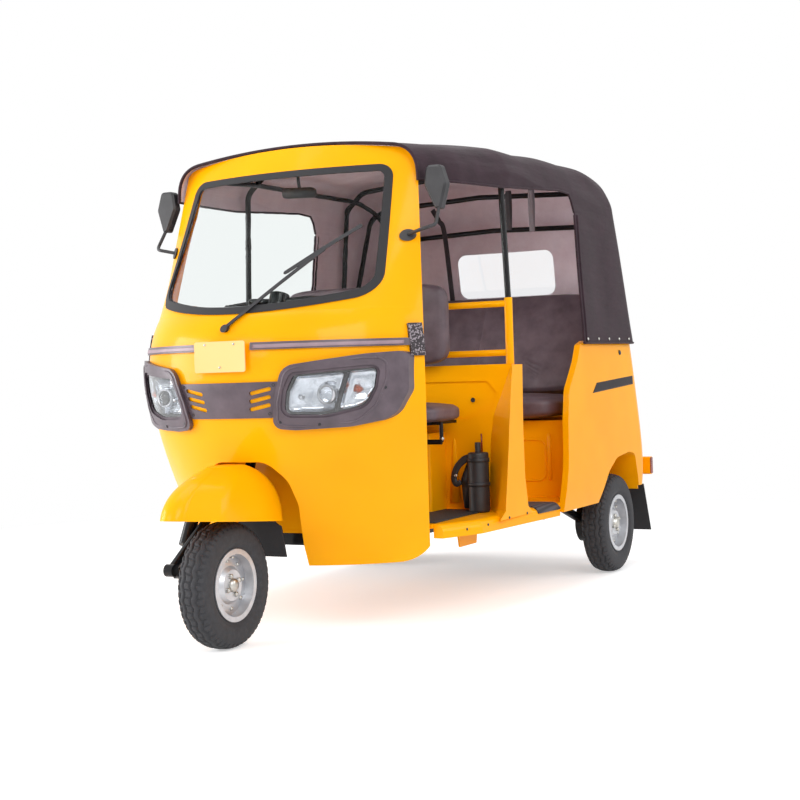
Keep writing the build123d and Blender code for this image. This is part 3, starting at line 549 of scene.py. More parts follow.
def make_finishes(colours):
    """All finishes, keyed by plain names."""
    finish.update(
        body=sprayed_enamel("stoved enamel, body", colours.body_light, colours.body_dark),
        trim=moulded_plastic("moulded ABS, satin black", colours.plastic, "#4B4047", 0.36),
        rough_plastic=moulded_plastic("moulded polypropylene, black", "#2B2A2D", "#1B1A1D", 0.5),
        hood=coated_canvas("PVC-coated canvas, hood", colours.hood_light, colours.hood_dark),
        # lining: the cloth's own pale mauve grey, made paler still as painted light for the light that shines
        # through the canvas
        lining=coated_canvas("canvas lining, mauve grey", "#EADDE4", colours.lining, 0.7),
        seat=seat_vinyl("embossed leathercloth, charcoal", "#67585F", "#493C43"),
        tyre=tyre_rubber("tyre rubber", "#3A3A3E", "#232326"),
        seal=tyre_rubber("EPDM rubber, extruded", "#232225", "#151417"),
        chassis=sprayed_enamel("chassis enamel, black", "#1A1A1C", "#101012", 0.4, 0.4),
        silver=bright_metal("silver wheel enamel", "#C9CACD", "#B4B5B9", 0.36, 0.75),
        plated=bright_metal("zinc-plated steel", "#C8C6C0", "#A3A19B", 0.3),
        reflector=bright_metal("aluminised reflector", "#D3D6DB", "#B3B7BD", 0.16),
        cast=bright_metal("cast aluminium, shot-blasted", "#8B8C8F", "#6D6E72", 0.55, 0.9, 2.0),
        exhaust=bright_metal("aluminised steel, heat-tinted", "#6F655C", "#4A443F", 0.5, 0.9),
        glass=clear_plate("laminated glass", "#F1F6F5", 1.15),
        vinyl_window=clear_plate("clear vinyl", "#F4F4F6", 1.5, 0.05),
        lens=clear_plate("polycarbonate lens", "#F8FAFC", 1.58),
        amber=clear_plate("amber acrylic", "#F0A85A", 1.49, 0.05),
        tail_lens=clear_plate("red acrylic", "#B3120C", 1.49, 0.08, 0.6),
        mat=ribbed_rubber("ribbed rubber mat", "#2A292C", "#161518", 18.0),
        step=ribbed_rubber("ribbed step tread", "#4A464B", "#2A272B", 14.0),
        plate=sprayed_enamel("number plate enamel", "#F9CB8C", "#F5C27E", 0.4, 0.3),
        foil=sprayed_enamel("printed vinyl film, black", "#2B2226", "#1D171A", 0.45, 0.2),
        bar=moulded_plastic("moulded ABS, lamp divider", "#242126", "#19171B", 0.3),
        pad=speckled_pad("granulated rubber pad, speckled", "#2C2529", "#8D8389"),
        webbing=woven_webbing("nylon webbing, dark grey", "#3A3438", "#232023"),
        pale_webbing=woven_webbing("nylon webbing, grey", "#8F868B", "#6F676C"),
        inlay=moulded_plastic("anodised belt inlay, mauve grey", "#9B8289", "#86707A", 0.4),
        # dark red-brown: on the canister rod, and on the bumper ends, where it is painted shade
        red=moulded_plastic("red acrylic reflector, moulded", "#8E2313", "#6E170D", 0.25),
        bulb=clear_plate("amber glass bulb", "#E2601C", 1.5, 0.05, 0.6),
        mirror=bright_metal("mirror glass", "#F5F6F7", "#E8EAEC", 0.06),
    )


CAD_FINISHES = {
    "body": ("front_cowl quarter_panel_left quarter_panel_right tail_panel engine_hatch side_frame_left "
             "side_frame_right partition_panel partition_rails seat_box seat_pedestal front_fender "
             "rear_bumper floor_pan toe_board"),
    "trim": "headlamp_bezel_left headlamp_bezel_right grille_panel belt_moulding",
    "rough_plastic": ("mirror_left mirror_right wiper dash_panel canister headlamp_housing_left "
                      "headlamp_housing_right"),
    "seal": "windscreen_seal front_mud_flap rear_mud_flaps",
    "glass": "windscreen_glass",
    "vinyl_window": "rear_window",
    "lens": "headlamp_left headlamp_right",
    "tail_lens": "tail_lamps",
    "chassis": ("chassis_frame hood_frame steering_fork front_damper rear_arm_left rear_arm_right seat_stand "
                "handlebar"),
    "cast": "engine_block",
    "exhaust": "silencer",
    "silver": "front_rim rear_rim_left rear_rim_right",
    "step": "step_plates",
}


class RICKSHAW_OT_finishes(bpy.types.Operator):
    """Make the finishes and put them on the CAD panels"""
    bl_idname = "rickshaw.finishes"
    bl_label = "Finishes"

    def execute(self, context):
        make_finishes(context.scene.rickshaw_finishes)
        for key, names in CAD_FINISHES.items():
            for name in names.split():
                materials = NODES[name].data.materials
                materials.clear()
                materials.append(finish[key])
        return {"FINISHED"}


# ------------------------------------------------------------------ hood
# station, half width at the shoulder, half width at the hem, height of the shoulder, height of the crown
HOOD_WIDTHS = np.array([
    (500, 484, 518, 1628, 1671), (720, 534, 570, 1641, 1698), (1045, 576, 616, 1656, 1726),
    (1640, 586, 640, 1667, 1737), (2400, 582, 646, 1652, 1720),
], float)
FLAP_EDGE = {"hem": 1612.0, "shoulder": 1655.0}  # station of the flap's front edge
FLAP_SHARE = 0.62  # share of a side's columns that lie ahead of it
HOOD_FRONT = 500.0
HOOD_HEM = 957.0
BOWS = (520.0, 1045.0, 1450.0, 1850.0, 2230.0)
WINDOW_HEIGHT = 1290.0
# station of the rear corners, corner radius and crown of the rear wall, at the two levels; REAR_POWER is the
# power of the rear wall's curve: 2 is a parabola, more is flatter in the middle
REAR_AT = {"hem": (2288.0, 138.0, 107.2), "shoulder": (2176.0, 130.0, 115.4)}
REAR_POWER = 2.8


def hood_level(level, column, tau):
    """Plan curve of one level of the hood, from the left front edge round the rear to the right front edge.
    The side follows the width table, the corner is an arc, and the rear is
    crown (1 - |x / end|^REAR_POWER)."""
    rear, radius, crown = REAR_AT[level]
    station = np.interp(tau["side"], (0, FLAP_SHARE, 1), (HOOD_FRONT, FLAP_EDGE[level], rear - radius))
    half = np.interp(station, HOOD_WIDTHS[:, 0], HOOD_WIDTHS[:, column])
    slope = np.arctan(REAR_POWER * crown / (half[-1] - radius / 2))
    turn = tau["corner"] * (PI / 2 - slope)
    corner_x = half[-1] - radius + radius * np.cos(turn)
    corner_y = rear - radius + radius * np.sin(turn)
    rear_x = corner_x[-1] * (1 - 2 * tau["rear"])
    rear_y = corner_y[-1] + crown * (1 - np.abs(rear_x / corner_x[-1]) ** REAR_POWER)
    x = np.concatenate([half, corner_x[1:], rear_x[1:], -corner_x[::-1][1:], -half[::-1][1:]])
    y = np.concatenate([station, corner_y[1:], rear_y[1:], corner_y[::-1][1:], station[::-1][1:]])
    return x, y


def hood_grid(settings):
    """Canvas hood as one sheet. Columns run round the plan curve; along each, rows run from the hem up the
    wall, round a quadratic curve at the shoulder and over the roof to the spine, with the roof arched by
    t(1 - t) and sagging between its bows. Folds along the shoulder are a pinched sine times a Gaussian of
    height and fade at the front, and drapes on the wall are sums of sines that fade at its top and hem."""
    tau = {"side": np.linspace(0, 1, 150), "corner": np.linspace(0, 1, 25), "rear": np.linspace(0, 1, 81)}
    top_x, top_y = hood_level("shoulder", 1, tau)
    hem_x, hem_y = hood_level("hem", 2, tau)
    span = len(tau["side"])
    count = len(top_x)
    order = np.arange(count)
    rearness = np.clip((np.minimum(order, count - 1 - order) - span + 30) / 50.0, 0, 1)
    rearness = rearness**2 * (3 - 2 * rearness)
    shoulder = np.interp(top_y, HOOD_WIDTHS[:, 0], HOOD_WIDTHS[:, 3]) + 8 * rearness
    corner_point = np.stack([top_x, top_y, shoulder], 1)
    hem_point = np.stack([hem_x, hem_y, np.full(count, HOOD_HEM)], 1)
    spine_y = 1740 - 60 * np.log1p(np.exp((1740 - top_y) / 60.0))
    crown = np.interp(spine_y, HOOD_WIDTHS[:, 0], HOOD_WIDTHS[:, 4])
    spine = np.stack([0 * top_x, spine_y, crown], 1)
    # height of the valance's lower edge, and of the row where the flap starts
    valance = np.interp(top_y, (500, 1000, 1500, 1600, 1630, 1655), (1512, 1522, 1552, 1548, 1520, 1465))
    cut = (shoulder - valance) / (shoulder - HOOD_HEM)
    wall_tangent = 88 + 82 * rearness
    roof_tangent = 84 + 120 * rearness
    wall = hem_point - corner_point
    roof = spine - corner_point
    wall_length = np.linalg.norm(wall, axis=1)
    roof_length = np.linalg.norm(roof, axis=1)
    low_rows, mid_rows, bend_rows, roof_rows = 60, 14, 20, 60
    q0 = wall_tangent / wall_length
    low = np.linspace(1, 0, low_rows)[:, None] * (1 - cut) + cut
    mid = np.linspace(1, 0, mid_rows)[1:, None] * (cut - q0) + q0
    q = np.concatenate([low, mid])[..., None]
    wall_points = corner_point + wall * q
    f = np.linspace(0, 1, bend_rows)[1:, None, None]
    start = corner_point + wall * q0[:, None]
    stop = corner_point + roof * (roof_tangent / roof_length)[:, None]
    bend_points = (1 - f) ** 2 * start + 2 * f * (1 - f) * corner_point + f**2 * stop
    g = np.linspace(0, 1, roof_rows)[1:, None, None]
    roof_points = stop + (spine - stop) * g
    along = (roof_tangent / roof_length)[None, :] * (1 - g[..., 0]) + g[..., 0]
    rise = (crown - shoulder) * along * (1 - along)
    first = (crown - shoulder) * (roof_tangent / roof_length) * (1 - roof_tangent / roof_length)
    roof_points[..., 2] += rise
    bend_points[..., 2] += f[..., 0] ** 2 * first
    points = np.concatenate([wall_points, bend_points, roof_points])
    x, y, z = points[..., 0], points[..., 1], points[..., 2]
    up = np.clip((z - 1600) / 90, 0, 1)
    nearest = np.min(np.abs(y[..., None] - BOWS), -1)
    between_bows = np.clip(nearest / 200.0, 0, 1)
    points[..., 2] -= settings.sag * up * between_bows**1.5
    # folds along the shoulder, and drapes down the wall
    edge_fade = np.clip((y - 520) / 200, 0, 1)
    pinch = 1 - 1.9 * np.abs(np.sin(z / 41.0 + 0.5 * np.sin(y / 270.0 + 0.6) + 0.25 * np.sin(y / 97.0)))
    fold = pinch * np.exp(-(((z - 1600) / 62) ** 2)) * (0.85 + 0.35 * np.sin(y / 150.0 + z / 60.0))
    drape = np.sin(y / 61.0 + 0.9 * np.sin(z / 260.0)) * 0.35 + np.sin(x / 83.0 + y / 190.0 + z / 170.0) * 0.5
    drape = drape * np.clip((1560 - z) / 200, 0, 1) * np.clip((z - 990) / 120, 0, 1)
    out = np.stack([np.sign(x) * (1 - rearness), rearness + 0 * x, 0 * x], -1)
    points = points + settings.fold * (fold * edge_fade + drape)[..., None] * out
    rows = len(points)
    faces = grid_faces(rows, count)
    column = np.arange(count - 1)[None, :] + np.zeros((rows - 1, 1), int)
    row = np.arange(rows - 1)[:, None] + np.zeros((1, count - 1), int)
    flap_column = int(round(FLAP_SHARE * (span - 1)))
    open_side = (row < low_rows - 1) & (np.minimum(column, count - 2 - column) < flap_column)
    across = run_length(hem_point) * MM
    run = np.linalg.norm(np.diff(points, axis=0), axis=-1)
    up_run = np.concatenate([np.zeros((1, count)), np.cumsum(run, 0)]) * MM
    uv = np.stack([np.broadcast_to(across, up_run.shape), up_run], -1)
    edge = {
        "front": points[low_rows - 1 :, 0],
        "flap": points[:low_rows, flap_column],
        "hem": points[0, flap_column : count - flap_column],
        "valance": points[low_rows - 1, : flap_column + 1],
    }
    return points, faces[~open_side.reshape(-1)], uv, edge


def rounded_outline(width, height, radius):
    """Rounded rectangle as a closed run of (x, z)."""
    turn = np.linspace(0, PI / 2, 12)
    quarter = np.arange(4)[:, None] * PI / 2 + turn
    sx = np.array([1, -1, -1, 1])[:, None] * (width / 2 - radius)
    sz = np.array([1, 1, -1, -1])[:, None] * (height / 2 - radius)
    return np.stack([sx + radius * np.cos(quarter), sz + radius * np.sin(quarter)], -1).reshape(-1, 2)


def drum(outline, y0, y1):
    """Prism between two stations over a closed (x, z) outline, with its ends closed on their middles."""
    n = len(outline)
    ring = np.stack([outline[:, 0], np.full(n, y0), outline[:, 1]], -1)
    far = ring + (0, y1 - y0, 0)
    points = np.stack([0 * ring + ring.mean(0), ring, far, 0 * far + far.mean(0)])
    return points, grid_faces(4, n, round_columns=True)


class RICKSHAW_OT_hood(bpy.types.Operator):
    """Canvas hood with its window, hems and studs"""
    bl_idname = "rickshaw.hood"
    bl_label = "Hood"

    def execute(self, context):
        settings = context.scene.rickshaw_hood
        points, faces, uv, edge = hood_grid(settings)
        hood = make_piece("hood_cover", (points, faces), "hood lining",
                          stands_for=["hood_canopy"], uv=uv, turn_out=False, weld=0.00005)
        wall = hood.modifiers.new("canvas", "SOLIDIFY")
        wall.thickness = settings.thickness * MM
        wall.offset = -1.0
        wall.material_offset = 1
        opening = drum(rounded_outline(472, 200, 42) + (0, WINDOW_HEIGHT), 2150, 2500)
        cutter = make_piece("window_cutter", opening, "hood")
        cut = hood.modifiers.new("window", "BOOLEAN")
        cut.operation, cut.object, cut.solver = "DIFFERENCE", cutter, "EXACT"
        finished(hood)
        bpy.data.objects.remove(cutter)
        runs = (edge["flap"], edge["valance"], edge["flap"] + (1.5, 26, 0), edge["hem"])
        sides = [tube(run[::2], 4.5, 8) for run in runs]
        front = tube(edge["front"] + (0, 4, -3.5), 6.0, 8)
        hems = gathered([both(side) for side in sides[:3] + [front]] + sides[3:])
        band = make_piece("hood_hems", hems, "hood", uv=hems[0][:, :2] * MM)
        hem = edge["hem"]
        length = run_length(hem)
        at = np.linspace(40, length[-1] - 40, 22)
        spots = np.stack([np.interp(at, length, hem[:, i]) for i in range(3)], -1) + (0, 0, 16)
        middle = np.array((0.0, 1900.0))
        heads = []
        for spot in spots:
            out = np.append(unit(spot[:2] - middle) if abs(spot[0]) < 560 else (np.sign(spot[0]), 0.0), 0.0)
            heads.append(studs([spot], out, 6.0))
        make_piece("hood_studs", gathered(heads), "plated")
        return {"FINISHED"}


# ------------------------------------------------------------------ cushions
class RICKSHAW_OT_cushions(bpy.types.Operator):
    """Seat cushions and backrests in leathercloth"""
    bl_idname = "rickshaw.cushions"
    bl_label = "Cushions"

    def execute(self, context):
        table = [
            # name, size, centre, tilt about X, sewn channels, crown
            ("driver_seat", (812, 290, 78), (0, 845, 715), 0, (-130, 130), 6),
            ("driver_backrest", (690, 306, 84), (0, 988, 1041), 90, (-115, 115), 6),
            ("passenger_seat", (1088, 412, 100), (0, 1682, 708), 0, (-272, 0, 272), 10),
            ("passenger_backrest", (1088, 468, 92), (0, 2052, 962), 65, (-272, 0, 272), 8),
        ]
        for name, size, centre, tilt, channels, crown in table:
            points, faces = cushion(size, crown=crown, pull=0.03, channels=channels)
            points = turned_about_x(points, tilt) + centre
            piece = make_piece(name + "_cover", (points, faces), "seat", stands_for=[name])
        return {"FINISHED"}


# ------------------------------------------------------------------ tyres and wheels
WHEELS = {
    "front": ((0.0, 0.0, 205.0), "front_wheel", "front_tyre", 1.0),
    "rear_left": ((575.0, 1990.0, 205.0), "rear_wheel_left", "rear_tyre_left", 1.0),
    "rear_right": ((-575.0, 1990.0, 205.0), "rear_wheel_right", "rear_tyre_right", -1.0),
}


def tyre_grid(settings):
    """Tyre: the CAD's cross-section turned about X, with zigzag ribs cut from r 184 outwards. A groove is
    where the distance across the tread, shifted by a triangle wave round the tyre, is near a rib's edge, and
    sipes cut the shoulder into blocks."""
    side = smooth_path([
        (41.5, 105.5, 0), (42.0, 121, 0), (50.5, 137, 0), (52.8, 156, 0), (50.5, 176, 0), (44, 191, 0),
        (37, 197.5, 0), (20, 203, 0), (0, 204.6, 0),
    ], 60)[:, :2]
    profile = np.concatenate([side, (side * (-1, 1))[::-1][1:]])
    closing = np.stack([np.linspace(-41.5, 41.5, 8)[1:-1], np.full(6, 105.5)], -1)
    profile = np.concatenate([profile, closing])
    steps = settings.blocks * 12
    turn = np.linspace(0, 2 * PI, steps, endpoint=False)
    across, radius = profile[:, 0][:, None], profile[:, 1][:, None]
    phase = (turn * settings.blocks / (2 * PI))[None, :]
    zigzag = 4.0 * (2 * np.abs(2 * (phase / 2 % 1) - 1) - 1)
    centre_groove = np.exp(-(((np.abs(across + zigzag) - 12.5) / 2.6) ** 4))
    outer_groove = np.exp(-(((np.abs(across + zigzag) - 31.0) / 2.4) ** 4))
    sipe = (np.abs(across) > 31) * np.exp(-((((phase + 0.25) % 1 - 0.5) / 0.16) ** 4))
    slanted = (phase + 0.1 * across / 12) % 1
    middle_sipe = (np.abs(across) < 12) * np.exp(-(((slanted - 0.5) / 0.1) ** 4)) * 0.8
    tread = np.clip((radius - 184) / 8, 0, 1)
    cut = np.maximum.reduce([centre_groove, outer_groove, sipe, middle_sipe]) * tread
    ridge = np.exp(-(((radius - 176) / 1.5) ** 2)) + np.exp(-(((radius - 130) / 1.2) ** 2))
    shown = radius - settings.groove * cut
    wide = across + np.sign(across) * 0.4 * ridge
    points = np.stack([wide + 0 * shown, shown * np.sin(turn), shown * np.cos(turn)], -1)
    return points, grid_faces(len(profile), steps, round_rows=True, round_columns=True)


class RICKSHAW_OT_tyres(bpy.types.Operator):
    """Tyres with their tread"""
    bl_idname = "rickshaw.tyres"
    bl_label = "Tyres"

    def execute(self, context):
        points, faces = tyre_grid(context.scene.rickshaw_tyre)
        for name, (centre, body, node, _) in WHEELS.items():
            tread = (points + centre, faces)
            make_piece(name + "_tyre_tread", tread, "tyre", body, [node], weld=0)
        return {"FINISHED"}


class RICKSHAW_OT_wheel_hardware(bpy.types.Operator):
    """Wheel nuts, split-rim bolts, grease cap and valve"""
    bl_idname = "rickshaw.wheel_hardware"
    bl_label = "Wheel hardware"

    def execute(self, context):
        for name, (centre, body, _, side) in WHEELS.items():
            nuts = bolt_circle(4, 0.4, 32.0, 33, 8.5)
            rim_bolts = bolt_circle(8, 0.1, 15.5, 78, 6.5)
            cap = turned([(20, 24), (40, 22), (45, 16), (46, 0)], (0, 0, 0), (1, 0, 0))
            valve = tube([(12, 0, 92), (30, 0, 90), (38, 0, 89)], 3.5, 8)
            parts = gathered([nuts, rim_bolts, cap, valve])
            if side < 0:
                parts = flipped(parts)
            make_piece(name + "_wheel_nuts", (parts[0] + centre, parts[1]), "plated", body)
        return {"FINISHED"}


# ------------------------------------------------------------------ lamps
LENS_BACK = 9.0  # lens thickness and a gap, measured rearwards
HEAD_CHAMBER = [(206, 755, 14), (221, 822, 50), (246, 866, 12), (377, 877, 9), (337, 757, 10), (300, 753, 60)]
TURN_CHAMBER = [(351, 758, 9), (390, 878, 8), (453, 884, 10), (444, 828, 50), (418, 776, 40), (385, 763, 60)]


def dish(corners, bowl, depth, flute):
    """Reflector of one lamp chamber: rings shrunk from the chamber's outline to the bowl's middle by s from 1
    to 0. Depth is a steep wall, 1 - s^12, and a paraboloid, 1 - r^2, inside the bowl's radius, with vertical
    flutes as a cosine of x."""
    outline = rounded_run(corners, 14)
    x0, z0, radius = bowl
    s = np.linspace(1, 0.02, 46)[:, None, None]
    flat = np.array((x0, z0)) + s * (outline - (x0, z0))
    points = np.stack([flat[..., 0], np.full(flat.shape[:2], AHEAD), flat[..., 1]], -1)
    points[..., 1] = laid_on(points, "headlamp_left", 0.0, True)[..., 1]
    reach = np.hypot(points[..., 0] - x0, points[..., 2] - z0) / radius
    wall = 1 - s[..., 0] ** 12
    hollow = 0.45 * np.clip(1 - reach**2, 0, 1)
    ripple = flute * np.cos(points[..., 0] * 2 * PI / 11.0) * (reach > 1) * wall
    points[..., 1] += LENS_BACK + depth * (0.55 * wall + hollow) + ripple
    return points, grid_faces(*points.shape[:2], round_columns=True)


def lamp_face(x, z, behind):
    """Point behind the left lamp's lens at (x, z)."""
    front = laid_on(np.array([[x, AHEAD, z]], float), "headlamp_left", 0.0, True)
    return front[0] + (0, LENS_BACK + behind, 0)


class RICKSHAW_OT_lamps(bpy.types.Operator):
    """Reflectors, projector rings, dividers and amber bulbs behind the lamp lenses"""
    bl_idname = "rickshaw.lamps"
    bl_label = "Lamps"

    def execute(self, context):
        head = dish(HEAD_CHAMBER, (300, 812, 56), 34.0, 0.7)
        turn = dish(TURN_CHAMBER, (402, 822, 33), 28.0, 0.5)
        middle = lamp_face(317, 808, 10)
        ring = turned([(14, 20), (0, 24), (-3, 28), (0, 32), (8, 33), (20, 31)], middle, (0, 1, 0), 48)
        eye = turned([(2, 24), (-5, 20), (-9, 12), (-10, 0)], middle, (0, 1, 0), 40)
        stalk = turned([(30, 6), (0, 7), (-2, 5), (-3, 0)], lamp_face(246, 800, 6), (0, 1, 0), 20)
        z = np.linspace(0, 1, 24)
        line = np.stack([343 + 39 * z, np.full(len(z), AHEAD), 754 + 122 * z], -1)
        line[:, 1] = laid_on(line, "headlamp_left", 0.0, True)[:, 1] + LENS_BACK + 3
        bulb = turned([(-16, 0), (-14, 7), (-7, 11), (2, 11), (8, 8), (16, 7)],
                      lamp_face(402, 820, 16), (0, 1, 0), 24)
        table = [
            ("lamp_reflectors", gathered([head, turn]), "reflector", "wheel_silver"),
            ("lamp_projectors", gathered([ring, stalk]), "silver", "wheel_silver"),
            ("lamp_projector_eyes", eye, "lens", "lamp_lens"),
            ("lamp_dividers", tube(line, 4.5, 10), "bar", "black_plastic"),
            ("lamp_amber_bulbs", bulb, "bulb", "lamp_lens"),
        ]
        for name, shape, key, slot in table:
            make_piece(name, both(shape), key, turn_out=name != "lamp_reflectors")
        return {"FINISHED"}


# ------------------------------------------------------------------ front trim
def on_cowl(x, z, node="front_cowl", clearance=0.5):
    """Place on the cowl, or on another node of the front, straight behind (x, z), out by a clearance."""
    x, z = np.broadcast_arrays(np.asarray(x, float), np.asarray(z, float))
    ahead = np.stack([x, np.full(x.shape, AHEAD), z], -1)
    return laid_on(laid_on(ahead, node, 0.0, True), node, clearance)


def heads_on(spots, node, radius, profile=DOME):
    """A head at each (x, z) of the list, on a node of the front, facing as it does there."""
    parts = []
    for x, z in spots:
        here = on_cowl(x, z, node)
        slope = on_cowl(np.array((x + 4.0, x)), np.array((z, z + 4.0)), node)
        out = unit(np.cross(slope[1] - here, slope[0] - here))
        parts.append(studs([here], out * (-1 if out[1] > 0 else 1), radius, profile))
    return gathered(parts)


class RICKSHAW_OT_front_trim(bpy.types.Operator):
    """Bare number plate, screws, painted shade in the grille holes, bezel beads, belt inlay, side pads,
    mirror glass and header bolts
    """
    bl_idname = "rickshaw.front_trim"
    bl_label = "Front trim"

    def execute(self, context):
        plate = drum(rounded_outline(196, 100, 8) + (-4, 938), 22.0, 24.5)
        make_piece("number_plate", plate, "plate", smooth=False)
        make_piece("plate_screws", studs([(-4, 22, 904), (-60, 22, 978), (52, 22, 978)], (0, -1, 0), 4.0),
                   "plated")
        screws = both(heads_on([(477, 823), (300, 712), (185, 722)], "headlamp_bezel_left", 5.0))
        # dark recessed discs at the grille's corner holes: painted shade inside the holes
        holes = both(heads_on([(174, 843), (150, 751)], "grille_panel", 5.5, HOLE_SHADE_DISC))
        make_piece("bezel_screws_and_hole_shade", gathered([screws, holes]), "bar")
        lip = lapped(rounded_run([
            (176, 712, 22), (188, 790, 60), (222, 893, 44), (440, 922, 200), (484, 916, 26), (482, 850, 80),
            (452, 768, 70), (398, 716, 60), (250, 707, 90),
        ], 10))
        bead = tube(on_cowl(lip[:, 0], lip[:, 1], "headlamp_bezel_left", 0.0), 3.6, 10)
        make_piece("bezel_beads", both(bead), "trim")
        x = np.linspace(112, 512, 60)
        levels = (961.5, 965, 970, 973.5)
        inlay = np.stack([on_cowl(x, np.full(len(x), z), "belt_moulding", 0.0) for z in levels])
        make_piece("belt_inlay", both(slab(inlay, 0.2, 1.6)), "inlay")
        # plan arc of the cowl at the pads' height
        radius, centre = 590, 626
        turn = np.linspace(np.arcsin(519 / radius), np.arcsin(543 / radius), 14)[None, :]
        z = np.linspace(922, 1030, 26)[:, None]
        grid = np.stack(np.broadcast_arrays(radius * np.sin(turn), centre - radius * np.cos(turn), z), -1)
        pad = slab(laid_on(grid, "front_cowl", 0.4), 0.0, 11.0)
        make_piece("side_pads", both(pad), "pad")
        glass = [(519, 1555), (572, 1555), (592, 1490), (569, 1408), (549, 1408), (509, 1490)]
        glass = np.array(glass, float)
        glass = glass.mean(0) + 0.84 * (glass - glass.mean(0))
        face = drum(rounded_run(np.column_stack([glass, np.full(6, 9.0)])), 535.7, 537.2)
        make_piece("mirror_glass", both(face), "mirror", smooth=False)
        bolts = laid_on(np.array([(455.0, 545, 1515), (447.0, 545, 1462)]), "front_cowl", 0.0)
        bolts = both(studs(bolts, (0.5, -0.85, 0), 6.0, HEX_NUT, 6))
        make_piece("header_bolts", bolts, "plated")
        return {"FINISHED"}


# ------------------------------------------------------------------ cabin
class RICKSHAW_OT_cabin(bpy.types.Operator):
    """Inner mirror, grips, levers, straps, mat, canister clamp, seat bolts, hood stay, panel fittings, and a
    disc of painted shade in the partition's hole
    """
    bl_idname = "rickshaw.cabin"
    bl_label = "Cabin fittings"

    def execute(self, context):
        head = drum(rounded_run([(-80, 1497, 14), (52, 1491, 14), (52, 1527, 16), (-80, 1533, 16)]), 556, 574)
        stem = tube(smooth_path([(-12, 566, 1524), (-12, 560, 1545), (-12, 556, 1570)], 14), 6.0, 10)
        make_piece("inner_mirror", gathered([head, stem]), "rough_plastic")
        face = rounded_run([(-75, 1502, 10), (47, 1496, 10), (47, 1522, 12), (-75, 1528, 12)])
        make_piece("inner_mirror_glass", drum(face, 573.6, 575.0), "mirror", smooth=False)
        bar = smooth_path([(196, 495, 1119), (230, 501, 1117), (300, 509.6, 1111)], 20)
        grip = tube(bar, 16.5 + 1.2 * np.cos(np.linspace(0, 16 * PI, 20)), 20)
        lever = smooth_path([(196, 500, 1108), (212, 500, 1094), (250, 503, 1086), (296, 508, 1082)], 20)
        grips = both(gathered([grip, tube(lever, 4.0, 10)]))
        make_piece("handlebar_grips", grips, "seal", "steering")
        around, top = 48, 1610
        turn = np.linspace(0, 2 * PI, around, endpoint=False)
        wide = np.linspace(-12, 12, 5)[:, None, None] * (1.0, 0.0, 0.0)
        straps = (("grab_strap", "webbing", 226, 1447), ("grab_strap_pale", "pale_webbing", 330, 1432))
        for name, key, x, low in straps:
            bulge = 1850 + 13 * np.sin(turn) * (0.55 - 0.45 * np.cos(turn))
            height = (low + top) / 2 - (top - low) / 2 * np.cos(turn)
            run = np.stack([np.full(around, float(x)), bulge, height], -1)
            loop = np.concatenate([run[None] + wide, (run + (0, 0, 2))[None] + wide[::-1]])
            make_piece(name, (loop, grid_faces(10, around, True, True)), key)
        floor = 350.2
        mat = patch([(-474, 575, floor), (474, 575, floor), (474, 1012, floor), (-474, 1012, floor)], 20, 40)
        make_piece("floor_mat", slab(mat, 0.0, 4.0), "mat")
        band = [(-7, 39.2), (-7, 41), (7, 41), (7, 39.2), (-7, 39.2)]
        clamps = [turned(band, (465, 958, height), (0, 0, 1), 40) for height in (452, 540)]
        hook = smooth_path([(436, 952, 548), (412, 950, 541), (384, 948, 514), (370, 947, 478),
                            (378, 946, 454), (398, 946, 460)], 40)
        hook = tube(hook, np.linspace(15, 10, 40), 14, 0.5)
        back = rounded_run([(404, 362, 8), (440, 362, 8), (440, 545, 8), (424, 540, 10), (394, 470, 12)])
        back = drum(back, 956, 966)
        rod = tube([(466, 990, 560), (466, 990, 600), (466, 989, 634)], 3.0, 10)
        make_piece("canister_clamp", gathered(clamps + [hook, back]), "rough_plastic")
        make_piece("canister_rod", rod, "red")
        bright = studs([(383, 937, 484)], (0, -1, 0), 6.5)
        swing = both(studs([(408, 780, 628)], (1, 0, 0), 8.0, HEX_NUT, 6))
        make_piece("seat_bolts", gathered([bright, swing]), "plated")
        stay = [(-243, 2072, 1585), (-226, 2100, 1535), (-210, 2118, 1480), (-186, 2132, 1175)]
        make_piece("hood_stay", tube(smooth_path(stay, 24), 13.0, 12, 0.3), "webbing")
        cone = turned([(0, 2), (12, 7), (238, 23), (240, 0)], (0, 0, 0), (0, 0, -1), 32)
        cone = (cone[0] * (1, 0.55, 1) + (334, 1031, 616), cone[1])
        make_piece("partition_rib", cone, "body")
        bead = lapped(rounded_run([(-478, 416, 30), (478, 416, 30), (478, 578, 30), (-478, 578, 30)], 10))
        bead = tube(np.insert(bead, 1, 1559.6, axis=1), 4.0, 10)
        rib = [(496, 1560, height) for height in (414, 424, 597, 605)]
        rib = both(tube(rib, np.array((3.0, 9, 9, 3)), 14))
        make_piece("seat_box_pressings", gathered([bead, rib]), "body")
        # black disc with a raised rim in the partition's hole: painted shade of the hole
        hole = [(0, 9), (1.2, 8.5), (1.2, 6.5), (0.1, 6), (0.1, 0)]
        hole = turned(hole, (417, 1030.6, 756), (0, -1, 0), 24)
        bolts = [(x, 1030.8, height) for x in (520, -520) for height in (600, 470)]
        bolts = studs(bolts, (0, -1, 0), 6.0)
        make_piece("partition_bolts_and_hole_shade", gathered([hole, bolts]), "seal")
        return {"FINISHED"}


